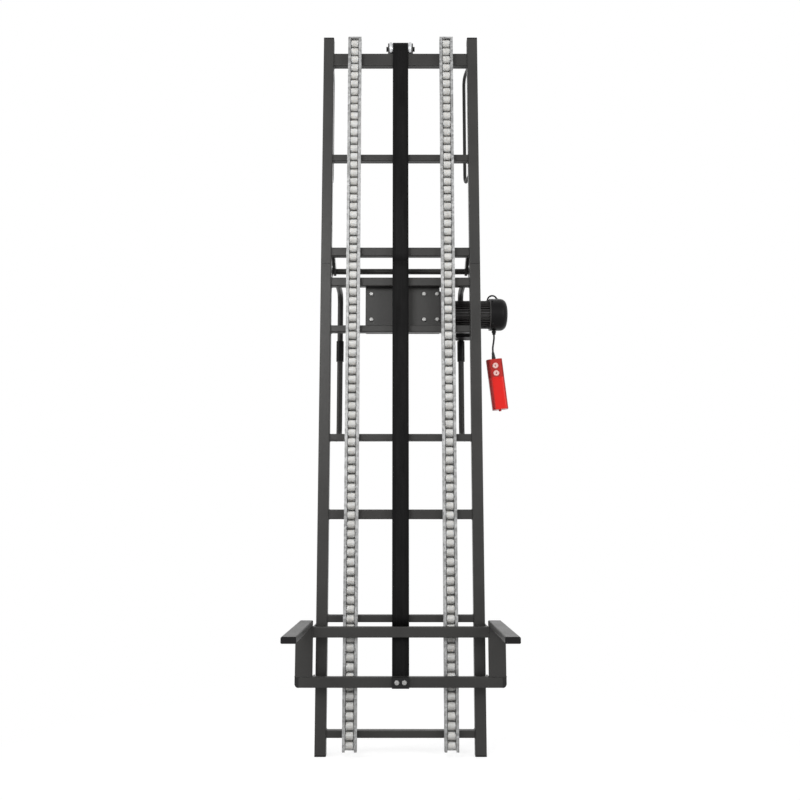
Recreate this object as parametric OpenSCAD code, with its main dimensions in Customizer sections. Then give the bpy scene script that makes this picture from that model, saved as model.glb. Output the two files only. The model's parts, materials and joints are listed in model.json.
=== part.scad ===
// Ladder material hoist: a folding ladder frame with roller tracks, a belt winch and a fork carriage.
// Millimetres. X runs across the frame, Y to the back, Z up the frame. The origin lies between the feet.

/* [Ladder frame] */
// Width over the two stiles
frame_w = 600; // [540:1:700]
// Length of the lower section, from the ground to the fold
lower_len = 1773; // [1450:1:2100]
// Length of the upper section, from the fold to the top
upper_len = 915; // [750:1:1200]
// Side of the square stile tube
stile_w = 40; // [36:1:44]
// Wall of the stile tube
stile_wall = 2.5; // [1.5:0.1:3]
// Depth of the rung tubes
rung_w = 30; // [26:1:34]
// Height of a plain rung
rung_h = 26; // [22:1:30]
// Height of the tall rung halfway up the lower section
tall_rung_h = 35; // [26:1:40]
// Wall of the rung tube
rung_wall = 2; // [1.2:0.1:3]
// Height of the two rungs beside the fold
joint_rung_h = 33; // [28:1:40]
// Height of the top rung
top_rung_h = 50; // [40:1:60]
// Gap between the two sections when unfolded
seam_gap = 1; // [0.6:0.1:2]
// Drop of the winch rung below the lower joint rung
winch_rung_drop = 180.6; // [176:0.1:190]
// Drop of the lower joint rung below the fold
joint_rung_drop = 69; // [66:1:90]
// Rise of the upper joint rung above the fold
joint_rung_rise = 48; // [40:1:60]
// Drop of the top rung below the stile tops
top_rung_drop = 88.5; // [86:0.5:110]

/* [Roller tracks] */
// Distance of each track from the middle of the frame
track_x = 177; // [165:1:190]
// Width of the track channel
track_w = 51; // [48:1:56]
// Depth of the track channel
track_depth = 33; // [31:1:36]
// Sheet thickness of the track channel
track_sheet = 1.5; // [1:0.1:2.5]
// Width of the lips at the mouth of the track
track_lip = 10; // [6:0.1:11.5]
// Height of the lower end of the track
track_start = 21; // [10:1:40]
// Gap between the upper end of the track and the stile tops
track_end_gap = 13; // [10:1:40]
// Diameter of a track roller
roller_d = 28; // [24:0.5:30]
// Width of the roller's running face
roller_w = 27; // [22:0.5:28]
// Spacing of the rollers along the track
roller_pitch = 33; // [31:0.5:40]
// Height of the rollers above the track lips
roller_proud = 2; // [1:0.1:3]
// Diameter of a roller pin
roller_pin_d = 6; // [4:0.1:8]

/* [Fold] */
// Distance of the fold axle behind the middle of the frame
hinge_y = 106; // [102:1:125]
// Rise of the fold axle above the fold
hinge_rise = 5.5; // [0:0.5:8]
// Diameter of the fold axle
hinge_axle_d = 22; // [14:0.5:24]
// Outer diameter of the hinge eyes
hinge_eye_d = 34; // [30:1:40]
// Thickness of the hinge lugs on the lower section
hinge_lug_t = 6; // [4:0.5:7]
// Thickness of the hinge arms on the upper section
hinge_arm_t = 9; // [6:0.5:10]

/* [Rear bows] */
// Distance of the lower bows inside the stiles
lower_bow_inset = 23; // [23:1:40]
// Depth of the lower bows behind the middle of the frame
lower_bow_y = 170; // [168:1:175]
// Diameter of the lower bow tube
lower_bow_d = 22; // [18:0.5:22]
// Bend radius of the lower bows
lower_bow_r = 40; // [30:1:60]
// Length of the grip sleeve on each lower bow
grip_len = 80; // [60:1:85]
// Diameter of the grip sleeve
grip_d = 29; // [26:0.5:30]
// Distance of the right upper bow inside the stile
right_bow_inset = 4; // [-16:1:4]
// Distance of the left upper bow inside the stile
left_bow_inset = -12; // [-16:1:4]
// Depth of the upper bows behind the middle of the frame
upper_bow_y = 115; // [80:1:120]
// Diameter of the upper bow rod
upper_bow_d = 13; // [8:0.5:14]
// Bend radius of the upper bows
upper_bow_r = 32; // [24:1:40]
// Height of the upper bows
upper_bow_h = 448; // [300:1:460]

/* [Belt] */
// Width of the lifting belt
belt_w = 60; // [45:1:62]
// Thickness of the lifting belt
belt_t = 3; // [2:0.1:3.5]

/* [Top pulley] */
// Distance of the pulley axis behind the middle of the frame
pulley_y = 4; // [0:0.5:6]
// Diameter of the pulley's belt seat
pulley_seat_d = 42; // [38:0.5:46]
// Diameter of the pulley flanges
pulley_flange_d = 53; // [50:0.5:58]
// Thickness of each pulley flange
pulley_flange_t = 11; // [6:0.5:13]
// Diameter of the pulley bolt
pulley_bolt_d = 12; // [8:0.5:16]
// Thickness of each pulley cheek
cheek_t = 5; // [3:0.5:8]

/* [Winch] */
// Distance of the winch axis behind the middle of the frame
winch_y = 100; // [99:0.5:101]
// Width of the winch plate
plate_w = 280; // [270:1:300]
// Sideways offset of the winch plate
plate_x = 8; // [4:1:12]
// Thickness of the winch plate
plate_t = 5; // [3:0.5:6]
// Diameter of the drum core
drum_core_d = 40; // [36:0.5:42]
// Diameter of the drum flanges
drum_flange_d = 110; // [106:1:114]
// Diameter of the drum shaft
drum_shaft_d = 24; // [18:0.5:28]
// Turns of belt on the drum
winding_turns = 6.5; // [3:0.5:6.5]
// Position of the gearbox's drum side
gear_x = 85; // [80:1:87]
// Length of the gearbox
gear_len = 120; // [112:1:130]
// Diameter of the gearbox flanges
gear_d = 112; // [100:1:116]
// Diameter over the motor fins
motor_d = 108; // [100:1:108]
// Length of the finned motor
motor_len = 140; // [124:1:150]
// Number of motor fins
motor_fins = 30; // [16:2:36]
// Diameter of the motor end cap
cap_d = 123; // [112:1:125]
// Length of the motor end cap
cap_len = 64; // [58:1:90]
// Rounding of the end cap
cap_r = 26; // [10:1:34]

/* [Pendant] */
// Width of the pendant
pendant_w = 60; // [50:1:70]
// Length of the pendant
pendant_len = 194; // [180:1:240]
// Thickness of the pendant
pendant_t = 38; // [34:1:50]
// Tilt of the hanging pendant
pendant_tilt = 6.4; // [0:0.1:12]
// Wall of the pendant shells
pendant_wall = 2.5; // [1.5:0.1:3.5]
// Diameter of a push button
button_d = 22; // [16:0.5:24]
// Spacing of the two push buttons
button_pitch = 29; // [28:0.5:34]
// Diameter of the pendant cord
cord_d = 7; // [5:0.1:9]

/* [Carriage] */
// Height of the carriage's underside above the ground
carriage_z = 240.5; // [60:0.5:400]
// Height of the carriage from lower bar to upper bar
carriage_h = 205.5; // [180:0.5:260]
// Height of the carriage bars
bar_h = 37; // [30:1:40]
// Depth of the carriage bars
bar_d = 25; // [22:1:35]
// Wall of the carriage tubes
bar_wall = 2; // [1.5:0.1:3]
// Gap between the track rollers and the carriage bars
carriage_gap = 4; // [3.6:0.1:8]
// Width of the side uprights
side_w = 60; // [52:1:80]
// Width of a fork arm
fork_w = 46; // [30:1:52]
// Thickness of a fork arm
fork_t = 20; // [14:1:30]
// Length of a fork arm
fork_len = 522; // [300:1:700]
// Thickness of the guide plates
guide_t = 5; // [4:0.5:8]
// Gap between a guide plate and its stile
guide_gap = 1; // [0.6:0.1:2]
// Outer diameter of a guide bearing
bearing_d = 22; // [16:0.5:22]
// Width of a guide bearing
bearing_w = 7; // [5:0.5:8]
// Diameter of a guide stud
stud_d = 8; // [6:0.5:10]

/* [Hidden] */
$fn = 48;

// Colours
frame_colour = [0.20, 0.20, 0.20];
zinc_colour = [0.72, 0.73, 0.74];
roller_colour = [0.86, 0.86, 0.84];
black_colour = [0.07, 0.07, 0.07];
belt_colour = [0.10, 0.10, 0.10];
red_colour = [0.80, 0.12, 0.10];
white_colour = [0.93, 0.92, 0.90];

// Clearances shared by all pieces
overrun = 1;
running_gap = 0.06;
belt_gap = 0.4;
wheel_gap = 0.3;
plug_gap = 0.2;
bolt_gap = 0.25;
button_gap = 0.3;

// Ladder frame
total_len = lower_len + upper_len;
stile_x = (frame_w - stile_w) / 2;
rung_half = frame_w / 2 - stile_w;
rung_front = rung_w / 2;
tube_r = 4;
plug_base_t = 6;
plug_depth = 24;
lower_rung_shares = [0.0419, 0.2641, 0.4716, 0.6293];
tall_rung = 2;
upper_rung_share = 0.4615;
lower_joint_z = lower_len - joint_rung_drop;
winch_rung_z = lower_joint_z - winch_rung_drop;
lower_rung_zs = concat([for (s = lower_rung_shares) s * lower_len], [winch_rung_z]);
bow_rung_z = lower_rung_zs[3];
upper_joint_z = lower_len + joint_rung_rise;
middle_rung_z = lower_len + upper_rung_share * upper_len;
top_rung_z = total_len - top_rung_drop;
top_rung_top = top_rung_z + top_rung_h / 2;

// Roller tracks
track_inner_w = track_w - 2 * track_sheet;
lower_track_end = lower_len - seam_gap / 2;
upper_track_start = lower_len + seam_gap / 2;
upper_track_end = total_len - track_end_gap;
roller_front = rung_front + track_depth + roller_proud;
roller_y = roller_front - roller_d / 2;
track_end_h = 6;
roller_rise = 3;
lower_row_z = track_start + roller_rise;
upper_row_z = lower_len + roller_rise;
lower_rollers = floor((lower_len - lower_row_z) / roller_pitch);
upper_rollers = floor((upper_track_end - track_end_h - upper_row_z) / roller_pitch);
roller_chamfer = 1.5;
roller_rim = 3.5;
roller_recess = 3;
roller_hub_d = 11;
roller_bore_gap = 0.45;

// Fold
lug_inset = 3;
arm_inset = 9.5;
lug_x = rung_half + lug_inset;
arm_x = rung_half - arm_inset;
lug_root_h = 78;
hinge_root_gap = 6;
axle_end = 4;
axle_half = lug_x + hinge_lug_t + axle_end;
hinge_c = [hinge_y, lower_len + hinge_rise];

// Rear bows
lower_bow_x = rung_half - lower_bow_inset;
right_bow_x = rung_half - right_bow_inset;
left_bow_x = rung_half - left_bow_inset;
bow_foot_inset = 1;
upper_bow_foot_x = rung_half + bow_foot_inset + upper_bow_d / 2;
bow_bend_steps = 6;
bow_sides = 14;
lower_bow_sides = 20;
bow_slope = 8;
upper_bow_drop = 12.5;
grip_drop = 190;
grip_top = lower_joint_z - grip_drop;
grip_gap = 0.2;

// Belt route, as points in the Y and Z of the frame
carriage_back = -(roller_front + carriage_gap);
carriage_front = carriage_back - bar_d;
belt_front_y = carriage_back + belt_t / 2;
pulley_rung_gap = 0.8;
pulley_z = top_rung_top + pulley_rung_gap + pulley_flange_d / 2;
pulley_c = [pulley_y, pulley_z];
pulley_r = pulley_seat_d / 2 + belt_gap + belt_t / 2;
wind_gap = 0.5;
wind_pitch = belt_t + wind_gap;
wind_start_r = drum_core_d / 2 + belt_gap;
wind_end_r = wind_start_r + winding_turns * wind_pitch;
wind_outer_r = wind_end_r + belt_t;
strand_r = wind_outer_r + belt_gap + belt_t / 2;
front_base = [belt_front_y, lower_len];
front_span = pulley_c - front_base;
front_lean = atan2(front_span.x, front_span.y) - asin(pulley_r / norm(front_span));
front_top = pulley_c + pulley_r * [-cos(front_lean), sin(front_lean)];

// Winch
plate_lap = 20;
plate_corner_r = 5;
plate_top = lower_joint_z - joint_rung_h / 2 + plate_lap;
plate_bottom = winch_rung_z - rung_h / 2;
plate_back = rung_front + plate_t;
plate_z = (plate_top + plate_bottom) / 2;
winch_drop = 5;
winch_z = plate_z - winch_drop;
drum_c = [winch_y, winch_z];
back_span = drum_c - pulley_c;
back_lean = atan2(back_span.x, -back_span.y) - asin((pulley_r + strand_r) / norm(back_span));
back_normal = [cos(back_lean), sin(back_lean)];
back_top = pulley_c + pulley_r * back_normal;
back_bottom = drum_c - strand_r * back_normal;
winch_bolt_d = 8;
winch_bolt_head = 13;
winch_bolt_head_t = 5.5;
winch_washer_d = 16;
winch_washer_t = 1.6;
winch_nut_t = 6.5;
winch_bolt_rise = 10;
winch_bolt_span = 99;
bracket_bolt_x = -110;
gear_bolt_x = 89;
gear_bolt_pitch = 49;
winch_bolt_xs = [bracket_bolt_x, gear_bolt_x, gear_bolt_x + gear_bolt_pitch];
winch_bolt_zs = [for (s = [-1, 1]) winch_z + winch_bolt_rise + s * winch_bolt_span / 2];
foot_t = 8;
foot_h = 124;
foot_back = plate_back + foot_t;
bracket_foot_w = 36;
bracket_t = 8;
bracket_eye_d = 54;
bracket_root_h = 60;
bracket_side_x = bracket_bolt_x + bracket_foot_w / 2 - bracket_t;
gear_foot_w = 79;
gear_foot_x = gear_bolt_x + gear_bolt_pitch / 2;
gear_web_w = 56;
gear_web_h = 64;
gear_body_d = 100;
gear_cover_len = 10;
gear_flange_t = 14;
gear_ribs = 10;
gear_rib_t = 4;
gear_socket = 13;
drum_side_gap = 2;
drum_flange_t = 4;
drum_flange_x = belt_w / 2 + drum_side_gap;
shaft_end = 4;
wind_steps = 24;
motor_x = gear_x + gear_len;
motor_core_d = 90;
motor_fin_t = 2.4;
motor_shield_t = 3;
cap_x = motor_x + motor_len;
cap_wall = 2.5;
boss_h = 2.5;
boss_d = 13;
cap_seat = cap_d / 2 + boss_h;
motor_seat = motor_d / 2 + boss_h;
box_w = 82;
box_d = 60;
box_drop = 94.5;
box_top_drop = 46.5;
box_in = 6;
box_r = 6;
box_gap = 0.3;
lead_d = 6.5;
lead_r = 18;
lead_back = 7.5;
lead_leg = 1.5;
lead_steps = 12;
lead_sides = 12;
lead_end = asin((cap_seat - motor_seat - lead_leg) / lead_r);
lead_foot = lead_r - lead_back + lead_r * cos(lead_end);
gland_in = 15;
gland_d = 17;
gland_len = 14;
gland_neck_d = 13;
gland_neck_len = 7;

// Pendant and its cord: the route is chosen by hand, from the mouth of the gland
gland_mouth = [cap_x + gland_in, winch_y, winch_z - cap_seat - gland_len];
cord_steps = [[0, 0, 0], [0, 0, -14], [-2, 0, -31], [-5, 0, -51], [-5, 0, -69]];
cord_route = [for (p = cord_steps) gland_mouth + p];
cord_sides = 10;
hang_point = cord_route[len(cord_route) - 1];
pendant_down = [sin(pendant_tilt), 0, -cos(pendant_tilt)];
relief_len = 30;
relief_base_d = 17;
relief_ribs = 5;
relief_groove = 1.2;
pendant_top = hang_point + relief_len * pendant_down;
pendant_r = 12;
pad_w = 48;
pad_h = 66;
pad_t = 1.5;
pad_top = 8;
pad_r = 6;
button_top = 27;
button_proud = 4;
button_flange_t = 2;
button_flange_lip = 1.5;
button_dome = 1.5;
nub_d = 10;
nub_len = 5;

// Carriage
side_x = frame_w / 2 + guide_gap + guide_t;
carriage_half = side_x + side_w;
carriage_top = carriage_z + carriage_h;
upper_bar_z = carriage_top - bar_h / 2;
lower_bar_z = carriage_z + bar_h / 2;
bar_plug_len = 14;
bar_half = carriage_half - bar_plug_len;
fork_plug_t = 5;
fork_inset = 1;
bearing_y = stile_w / 2 + wheel_gap + bearing_d / 2;
bearing_in = 9;
bearing_x = frame_w / 2 - bearing_in - bearing_w;
bearing_groove = 0.8;
bearing_ring = 3;
stud_head_d = 11;
stud_head_t = 2;
stud_margin = 15;
rear_bearing_z = carriage_top - stud_margin;
front_bearing_z = carriage_z + stud_margin;
guide_trim = 1;
guide_h = bar_h - guide_trim;
guide_toe = 14;
clamp_w = 62;
clamp_h = 35;
clamp_t = 4;
clamp_bolt_d = 8;
clamp_bolt_span = 26;
clamp_head = 13;
clamp_head_t = 5.5;
clamp_washer_d = 17;
clamp_washer_t = 1.6;
clamp_nut_t = 6.5;
clamp_bolt_xs = [for (s = [-1, 1]) s * clamp_bolt_span / 2];
pulley_head = 18;
pulley_head_t = 7;
pulley_side_gap = 0.6;
cheek_in = belt_w / 2 + drum_side_gap + pulley_flange_t + pulley_side_gap;
cheek_eye_d = 44;

// Least gap between the turns of the belt on the drum, measured between corner points one turn apart
winding_gaps = [
    for (i = [0:winding_turns * wind_steps - wind_steps])
        norm(wind_point(i + wind_steps, 0) - wind_point(i, belt_t))
];
echo(least_winding_gap = min(winding_gaps));

// Geometry helpers
function across_corners(flats) = flats / cos(30);
function mirrored(half) = concat(half, [for (i = [len(half) - 1:-1:0]) [half[i].x, -half[i].y]]);
function strip(a, b, t) =
    let (n = t / 2 * [a.y - b.y, b.x - a.x] / norm(b - a)) [a + n, b + n, b - n, a - n];
function on_line(a, b, z) = a + (b - a) * (z - a.y) / (b.y - a.y);
function touch(p, c, r, turn) =
    let (v = p - c, a = atan2(v.y, v.x) + turn * acos(r / norm(v))) c + r * [cos(a), sin(a)];
function wind_angle(i) = 180 + 360 * winding_turns - 360 * i / wind_steps;
function wind_point(i, out) =
    let (r = wind_start_r + out + wind_pitch * i / wind_steps, a = wind_angle(i))
    drum_c + r * [cos(a), sin(a)];

module both_sides() {
    for (m = [0, 1]) mirror([m, 0, 0]) children();
}

// Turns a flat Y and Z outline, drawn in X and Y, so that it extrudes along X
module along_x() {
    rotate([90, 0, 90]) children();
}

// Turns a shape that stands on Z so that it points to the back
module along_y() {
    rotate([-90, 0, 0]) children();
}

module round_rect(w, h, r) {
    square([w - 2 * r, h], center = true);
    square([w, h - 2 * r], center = true);
    for (x = [-1, 1], y = [-1, 1]) translate([x * (w / 2 - r), y * (h / 2 - r)]) circle(r);
}

module box_tube(w, h, wall, length) {
    linear_extrude(length) difference() {
        round_rect(w, h, tube_r);
        round_rect(w - 2 * wall, h - 2 * wall, tube_r - wall);
    }
}

// Plug for the end of a box tube: a base as large as the tube and a block that goes inside
module tube_plug(w, h, wall, base_t, depth) {
    inset = 2 * wall + 2 * plug_gap;
    linear_extrude(base_t) round_rect(w, h, tube_r);
    translate([0, 0, base_t]) linear_extrude(depth) round_rect(w - inset, h - inset, tube_r - wall);
}

// Round bar swept along points, with the end faces square to the two end directions
module swept_bar(points, d, sides, first_dir, last_dir, across) {
    last = len(points) - 1;
    function tangent(i) =
        i == 0 ? first_dir : i == last ? last_dir : points[i + 1] - points[i - 1];
    function ring(i) = let (
        t = tangent(i) / norm(tangent(i)),
        s = across - (across * t) * t,
        u = s / norm(s),
        v = cross(t, u)
    ) [for (k = [0:sides - 1]) points[i] + d / 2 * (cos(360 * k / sides) * u + sin(360 * k / sides) * v)];
    corners = [for (i = [0:last]) each ring(i)];
    walls = [
        for (i = [0:last - 1], k = [0:sides - 1])
            let (a = i * sides + k, b = i * sides + (k + 1) % sides)
            each [[a, a + sides, b], [b, a + sides, b + sides]]
    ];
    first_face = [[for (k = [0:sides - 1]) k]];
    last_face = [[for (k = [sides - 1:-1:0]) last * sides + k]];
    polyhedron(corners, concat(walls, first_face, last_face));
}

// Frame pieces
module stile(side, z0, z1) {
    color(frame_colour) translate([side * stile_x, 0, z0])
        box_tube(stile_w, stile_w, stile_wall, z1 - z0);
}

module rung(z, h) {
    translate([-rung_half, 0, z]) along_x() box_tube(rung_w, h, rung_wall, 2 * rung_half);
}

module lower_stile_left() stile(-1, plug_base_t, lower_track_end);
module lower_stile_right() stile(1, plug_base_t, lower_track_end);
module upper_stile_left() stile(-1, upper_track_start, total_len - plug_base_t);
module upper_stile_right() stile(1, upper_track_start, total_len - plug_base_t);

module lower_rungs() {
    color(frame_colour) {
        for (i = [0:len(lower_rung_zs) - 1]) rung(lower_rung_zs[i], i == tall_rung ? tall_rung_h : rung_h);
        rung(lower_joint_z, joint_rung_h);
    }
}

module upper_rungs() {
    color(frame_colour) {
        rung(upper_joint_z, joint_rung_h);
        rung(middle_rung_z, rung_h);
        rung(top_rung_z, top_rung_h);
    }
}

module foot_plugs() {
    color(black_colour) both_sides() translate([stile_x, 0, 0])
        tube_plug(stile_w, stile_w, stile_wall, plug_base_t, plug_depth);
}

module stile_caps() {
    color(black_colour) both_sides() translate([stile_x, 0, total_len]) mirror([0, 0, 1])
        tube_plug(stile_w, stile_w, stile_wall, plug_base_t, plug_depth);
}

// Lipped channel, its back on the rungs and its mouth to the front
module track(side, z0, z1) {
    half = track_w / 2;
    translate([side * track_x, -rung_front, z0]) linear_extrude(z1 - z0) rotate(-90)
        polygon(mirrored([
            [0, half],
            [track_depth, half],
            [track_depth, half - track_lip],
            [track_depth - track_sheet, half - track_lip],
            [track_depth - track_sheet, half - track_sheet],
            [track_sheet, half - track_sheet]
        ]));
}

// Upper track, its top end folded over and down across the mouth
module closed_track(side) {
    front = -rung_front - track_depth;
    track(side, upper_track_start, upper_track_end);
    translate([side * track_x - track_w / 2, front, upper_track_end]) mirror([0, 0, 1]) {
        cube([track_w, track_depth, track_sheet]);
        cube([track_w, track_sheet, track_end_h]);
    }
}

module track_lower_left() color(zinc_colour) track(-1, track_start, lower_track_end);
module track_lower_right() color(zinc_colour) track(1, track_start, lower_track_end);
module track_upper_left() color(zinc_colour) closed_track(-1);
module track_upper_right() color(zinc_colour) closed_track(1);

// Turned roller: broad rim, recessed sides and a hub that keeps it in the middle of the track
module roller() {
    hub_half = track_inner_w / 2 - running_gap;
    rim_half = roller_w / 2;
    web_half = rim_half - roller_recess;
    bore = roller_pin_d / 2 + roller_bore_gap;
    rim_inside = roller_d / 2 - roller_rim;
    rotate([0, 90, 0]) rotate_extrude() polygon(mirrored([
        [bore, hub_half],
        [roller_hub_d / 2, hub_half],
        [roller_hub_d / 2, web_half],
        [rim_inside, web_half],
        [rim_inside, rim_half],
        [roller_d / 2 - roller_chamfer, rim_half],
        [roller_d / 2, rim_half - roller_chamfer]
    ]));
}

module along_track(side, z0, count) {
    for (i = [0:count - 1])
        translate([side * track_x, -roller_y, z0 + (i + 1 / 2) * roller_pitch]) children();
}

module roller_pins(z0, count) {
    color(zinc_colour) for (side = [-1, 1]) along_track(side, z0, count)
        rotate([0, 90, 0]) cylinder(d = roller_pin_d, h = track_inner_w, center = true);
}

module rollers_lower_left() color(roller_colour) along_track(-1, lower_row_z, lower_rollers) roller();
module rollers_lower_right() color(roller_colour) along_track(1, lower_row_z, lower_rollers) roller();
module rollers_upper_left() color(roller_colour) along_track(-1, upper_row_z, upper_rollers) roller();
module rollers_upper_right() color(roller_colour) along_track(1, upper_row_z, upper_rollers) roller();
module roller_pins_lower() roller_pins(lower_row_z, lower_rollers);
module roller_pins_upper() roller_pins(upper_row_z, upper_rollers);

// Fold pieces
module hinge_plate(x, t, root_low, root_high) {
    r = hinge_eye_d / 2;
    both_sides() translate([x, 0, 0]) along_x() linear_extrude(t) difference() {
        union() {
            polygon([root_low, root_high, touch(root_high, hinge_c, r, -1), touch(root_low, hinge_c, r, 1)]);
            translate(hinge_c) circle(r);
        }
        translate(hinge_c) circle(hinge_axle_d / 2 + running_gap);
    }
}

module hinge_lugs() {
    root_z = lower_len - hinge_root_gap;
    color(frame_colour) hinge_plate(
        lug_x, hinge_lug_t,
        [stile_w / 2, root_z - lug_root_h],
        [stile_w / 2, root_z]
    );
}

module hinge_arms() {
    color(frame_colour) hinge_plate(
        arm_x, hinge_arm_t,
        [rung_front, upper_joint_z - joint_rung_h / 2],
        [rung_front, upper_joint_z + joint_rung_h / 2]
    );
}

module hinge_axle() {
    color(frame_colour) translate([-axle_half, hinge_c.x, hinge_c.y]) rotate([0, 90, 0])
        cylinder(d = hinge_axle_d, h = 2 * axle_half);
}

// Bent tube from the joint rung down to a lower rung
module lower_bows() {
    bend_y = lower_bow_y - lower_bow_r;
    leg = bend_y + lower_bow_r * sin(bow_slope) - rung_front;
    bend_top = lower_joint_z - lower_bow_r;
    bend_low = bow_rung_z + leg * tan(bow_slope) + lower_bow_r * cos(bow_slope);
    function bend(z, a) = [0, bend_y + lower_bow_r * cos(a), z + lower_bow_r * sin(a)];
    steps = [for (i = [0:bow_bend_steps]) i / bow_bend_steps];
    route = concat(
        [[0, rung_front, lower_joint_z]],
        [for (s = steps) bend(bend_top, 90 * (1 - s))],
        [for (s = steps) bend(bend_low, (bow_slope - 90) * s)],
        [[0, rung_front, bow_rung_z]]
    );
    color(frame_colour) both_sides() translate([lower_bow_x, 0, 0])
        swept_bar(route, lower_bow_d, lower_bow_sides, [0, 1, 0], [0, -1, 0], [1, 0, 0]);
}

module bow_grips() {
    color(black_colour) both_sides() translate([lower_bow_x, lower_bow_y, grip_top - grip_len]) difference() {
        cylinder(d = grip_d, h = grip_len);
        translate([0, 0, -overrun]) cylinder(d = lower_bow_d + 2 * grip_gap, h = grip_len + 2 * overrun);
    }
}

// Bent rod from the level of the top rung down, its feet leaning out to the stiles
module upper_bow(run_x) {
    foot_y = stile_w / 2;
    bend_y = upper_bow_y - upper_bow_r;
    top = top_rung_z - upper_bow_drop;
    bottom = top - upper_bow_h;
    function lean(y) =
        upper_bow_foot_x + (run_x - upper_bow_foot_x) * (y - foot_y) / (upper_bow_y - foot_y);
    function bend(z, a) =
        let (y = bend_y + upper_bow_r * cos(a)) [lean(y), y, z + upper_bow_r * sin(a)];
    steps = [for (i = [bow_bend_steps:-1:0]) 90 * i / bow_bend_steps];
    route = concat(
        [[upper_bow_foot_x, foot_y, top]],
        [for (a = steps) bend(top - upper_bow_r, a)],
        [for (a = steps) bend(bottom + upper_bow_r, a - 90)],
        [[upper_bow_foot_x, foot_y, bottom]]
    );
    swept_bar(route, upper_bow_d, bow_sides, [0, 1, 0], [0, -1, 0], [1, 0, 0]);
}

module upper_bows() {
    color(frame_colour) {
        upper_bow(right_bow_x);
        mirror([1, 0, 0]) upper_bow(left_bow_x);
    }
}

// Winch
module at_winch_bolts() {
    for (x = winch_bolt_xs, z = winch_bolt_zs) translate([x, rung_front, z]) along_y() children();
}

module winch_bolt_holes() {
    at_winch_bolts() translate([0, 0, -overrun])
        cylinder(d = winch_bolt_d + 2 * bolt_gap, h = plate_t + foot_t + 2 * overrun);
}

module winch_plate() {
    color(frame_colour) difference() {
        translate([plate_x, rung_front, plate_z]) along_y() linear_extrude(plate_t)
            round_rect(plate_w, plate_top - plate_bottom, plate_corner_r);
        winch_bolt_holes();
    }
}

module winch_bolts() {
    nut_at = plate_t + foot_t;
    color(zinc_colour) at_winch_bolts() {
        translate([0, 0, -winch_washer_t]) cylinder(d = winch_washer_d, h = winch_washer_t);
        translate([0, 0, -winch_washer_t - winch_bolt_head_t])
            cylinder(d = across_corners(winch_bolt_head), h = winch_bolt_head_t, $fn = 6);
        cylinder(d = winch_bolt_d, h = nut_at + winch_nut_t);
        translate([0, 0, nut_at]) cylinder(d = across_corners(winch_bolt_head), h = winch_nut_t, $fn = 6);
    }
}

// Foot that is bolted to the winch plate
module winch_foot(x, w) {
    translate([x, plate_back, winch_z + winch_bolt_rise]) along_y() linear_extrude(foot_t)
        round_rect(w, foot_h, plate_corner_r);
}

module winch_bore(x, length) {
    translate([x, winch_y, winch_z]) rotate([0, 90, 0])
        cylinder(d = drum_shaft_d + 2 * running_gap, h = length);
}

module drum_bracket() {
    root = [for (s = [-1, 1]) [foot_back, winch_z + winch_bolt_rise + s * bracket_root_h / 2]];
    r = bracket_eye_d / 2;
    color(frame_colour) difference() {
        union() {
            winch_foot(bracket_bolt_x, bracket_foot_w);
            translate([bracket_side_x, 0, 0]) along_x() linear_extrude(bracket_t) {
                polygon([root[0], root[1], touch(root[1], drum_c, r, -1), touch(root[0], drum_c, r, 1)]);
                translate(drum_c) circle(r);
            }
        }
        winch_bolt_holes();
        winch_bore(bracket_side_x - overrun, bracket_t + 2 * overrun);
    }
}

module gear_housing() {
    flange_r = gear_d / 2;
    body_r = gear_body_d / 2;
    rotate_extrude() polygon([
        [0, 0],
        [body_r, 0],
        [body_r, gear_cover_len],
        [flange_r, gear_cover_len],
        [flange_r, gear_cover_len + gear_flange_t],
        [body_r, gear_cover_len + gear_flange_t],
        [body_r, gear_len - gear_flange_t],
        [flange_r, gear_len - gear_flange_t],
        [flange_r, gear_len],
        [0, gear_len]
    ]);
    translate([0, 0, gear_cover_len]) linear_extrude(gear_len - gear_cover_len)
        for (i = [0:gear_ribs - 1]) rotate(360 * i / gear_ribs)
            translate([0, -gear_rib_t / 2]) square([flange_r - roller_chamfer, gear_rib_t]);
}

module winch_gearbox() {
    color(black_colour) difference() {
        union() {
            winch_foot(gear_foot_x, gear_foot_w);
            translate([gear_foot_x - gear_web_w / 2, foot_back, winch_z + winch_bolt_rise - gear_web_h / 2])
                cube([gear_web_w, winch_y - foot_back, gear_web_h]);
            translate([gear_x, winch_y, winch_z]) rotate([0, 90, 0]) gear_housing();
        }
        winch_bolt_holes();
        winch_bore(gear_x - overrun, gear_socket + overrun);
    }
}

module winch_drum() {
    core_r = drum_core_d / 2;
    flange_r = drum_flange_d / 2;
    shaft_r = drum_shaft_d / 2;
    shaft_low = bracket_side_x - shaft_end;
    shaft_high = gear_x + gear_socket - shaft_end;
    color(zinc_colour) translate([0, winch_y, winch_z]) rotate([0, 90, 0]) {
        translate([0, 0, shaft_low]) cylinder(r = shaft_r, h = shaft_high - shaft_low);
        cylinder(r = core_r, h = 2 * drum_flange_x, center = true);
        for (s = [-1, 1]) translate([0, 0, s * (drum_flange_x + drum_flange_t / 2)])
            cylinder(r = flange_r, h = drum_flange_t, center = true);
    }
}

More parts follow.
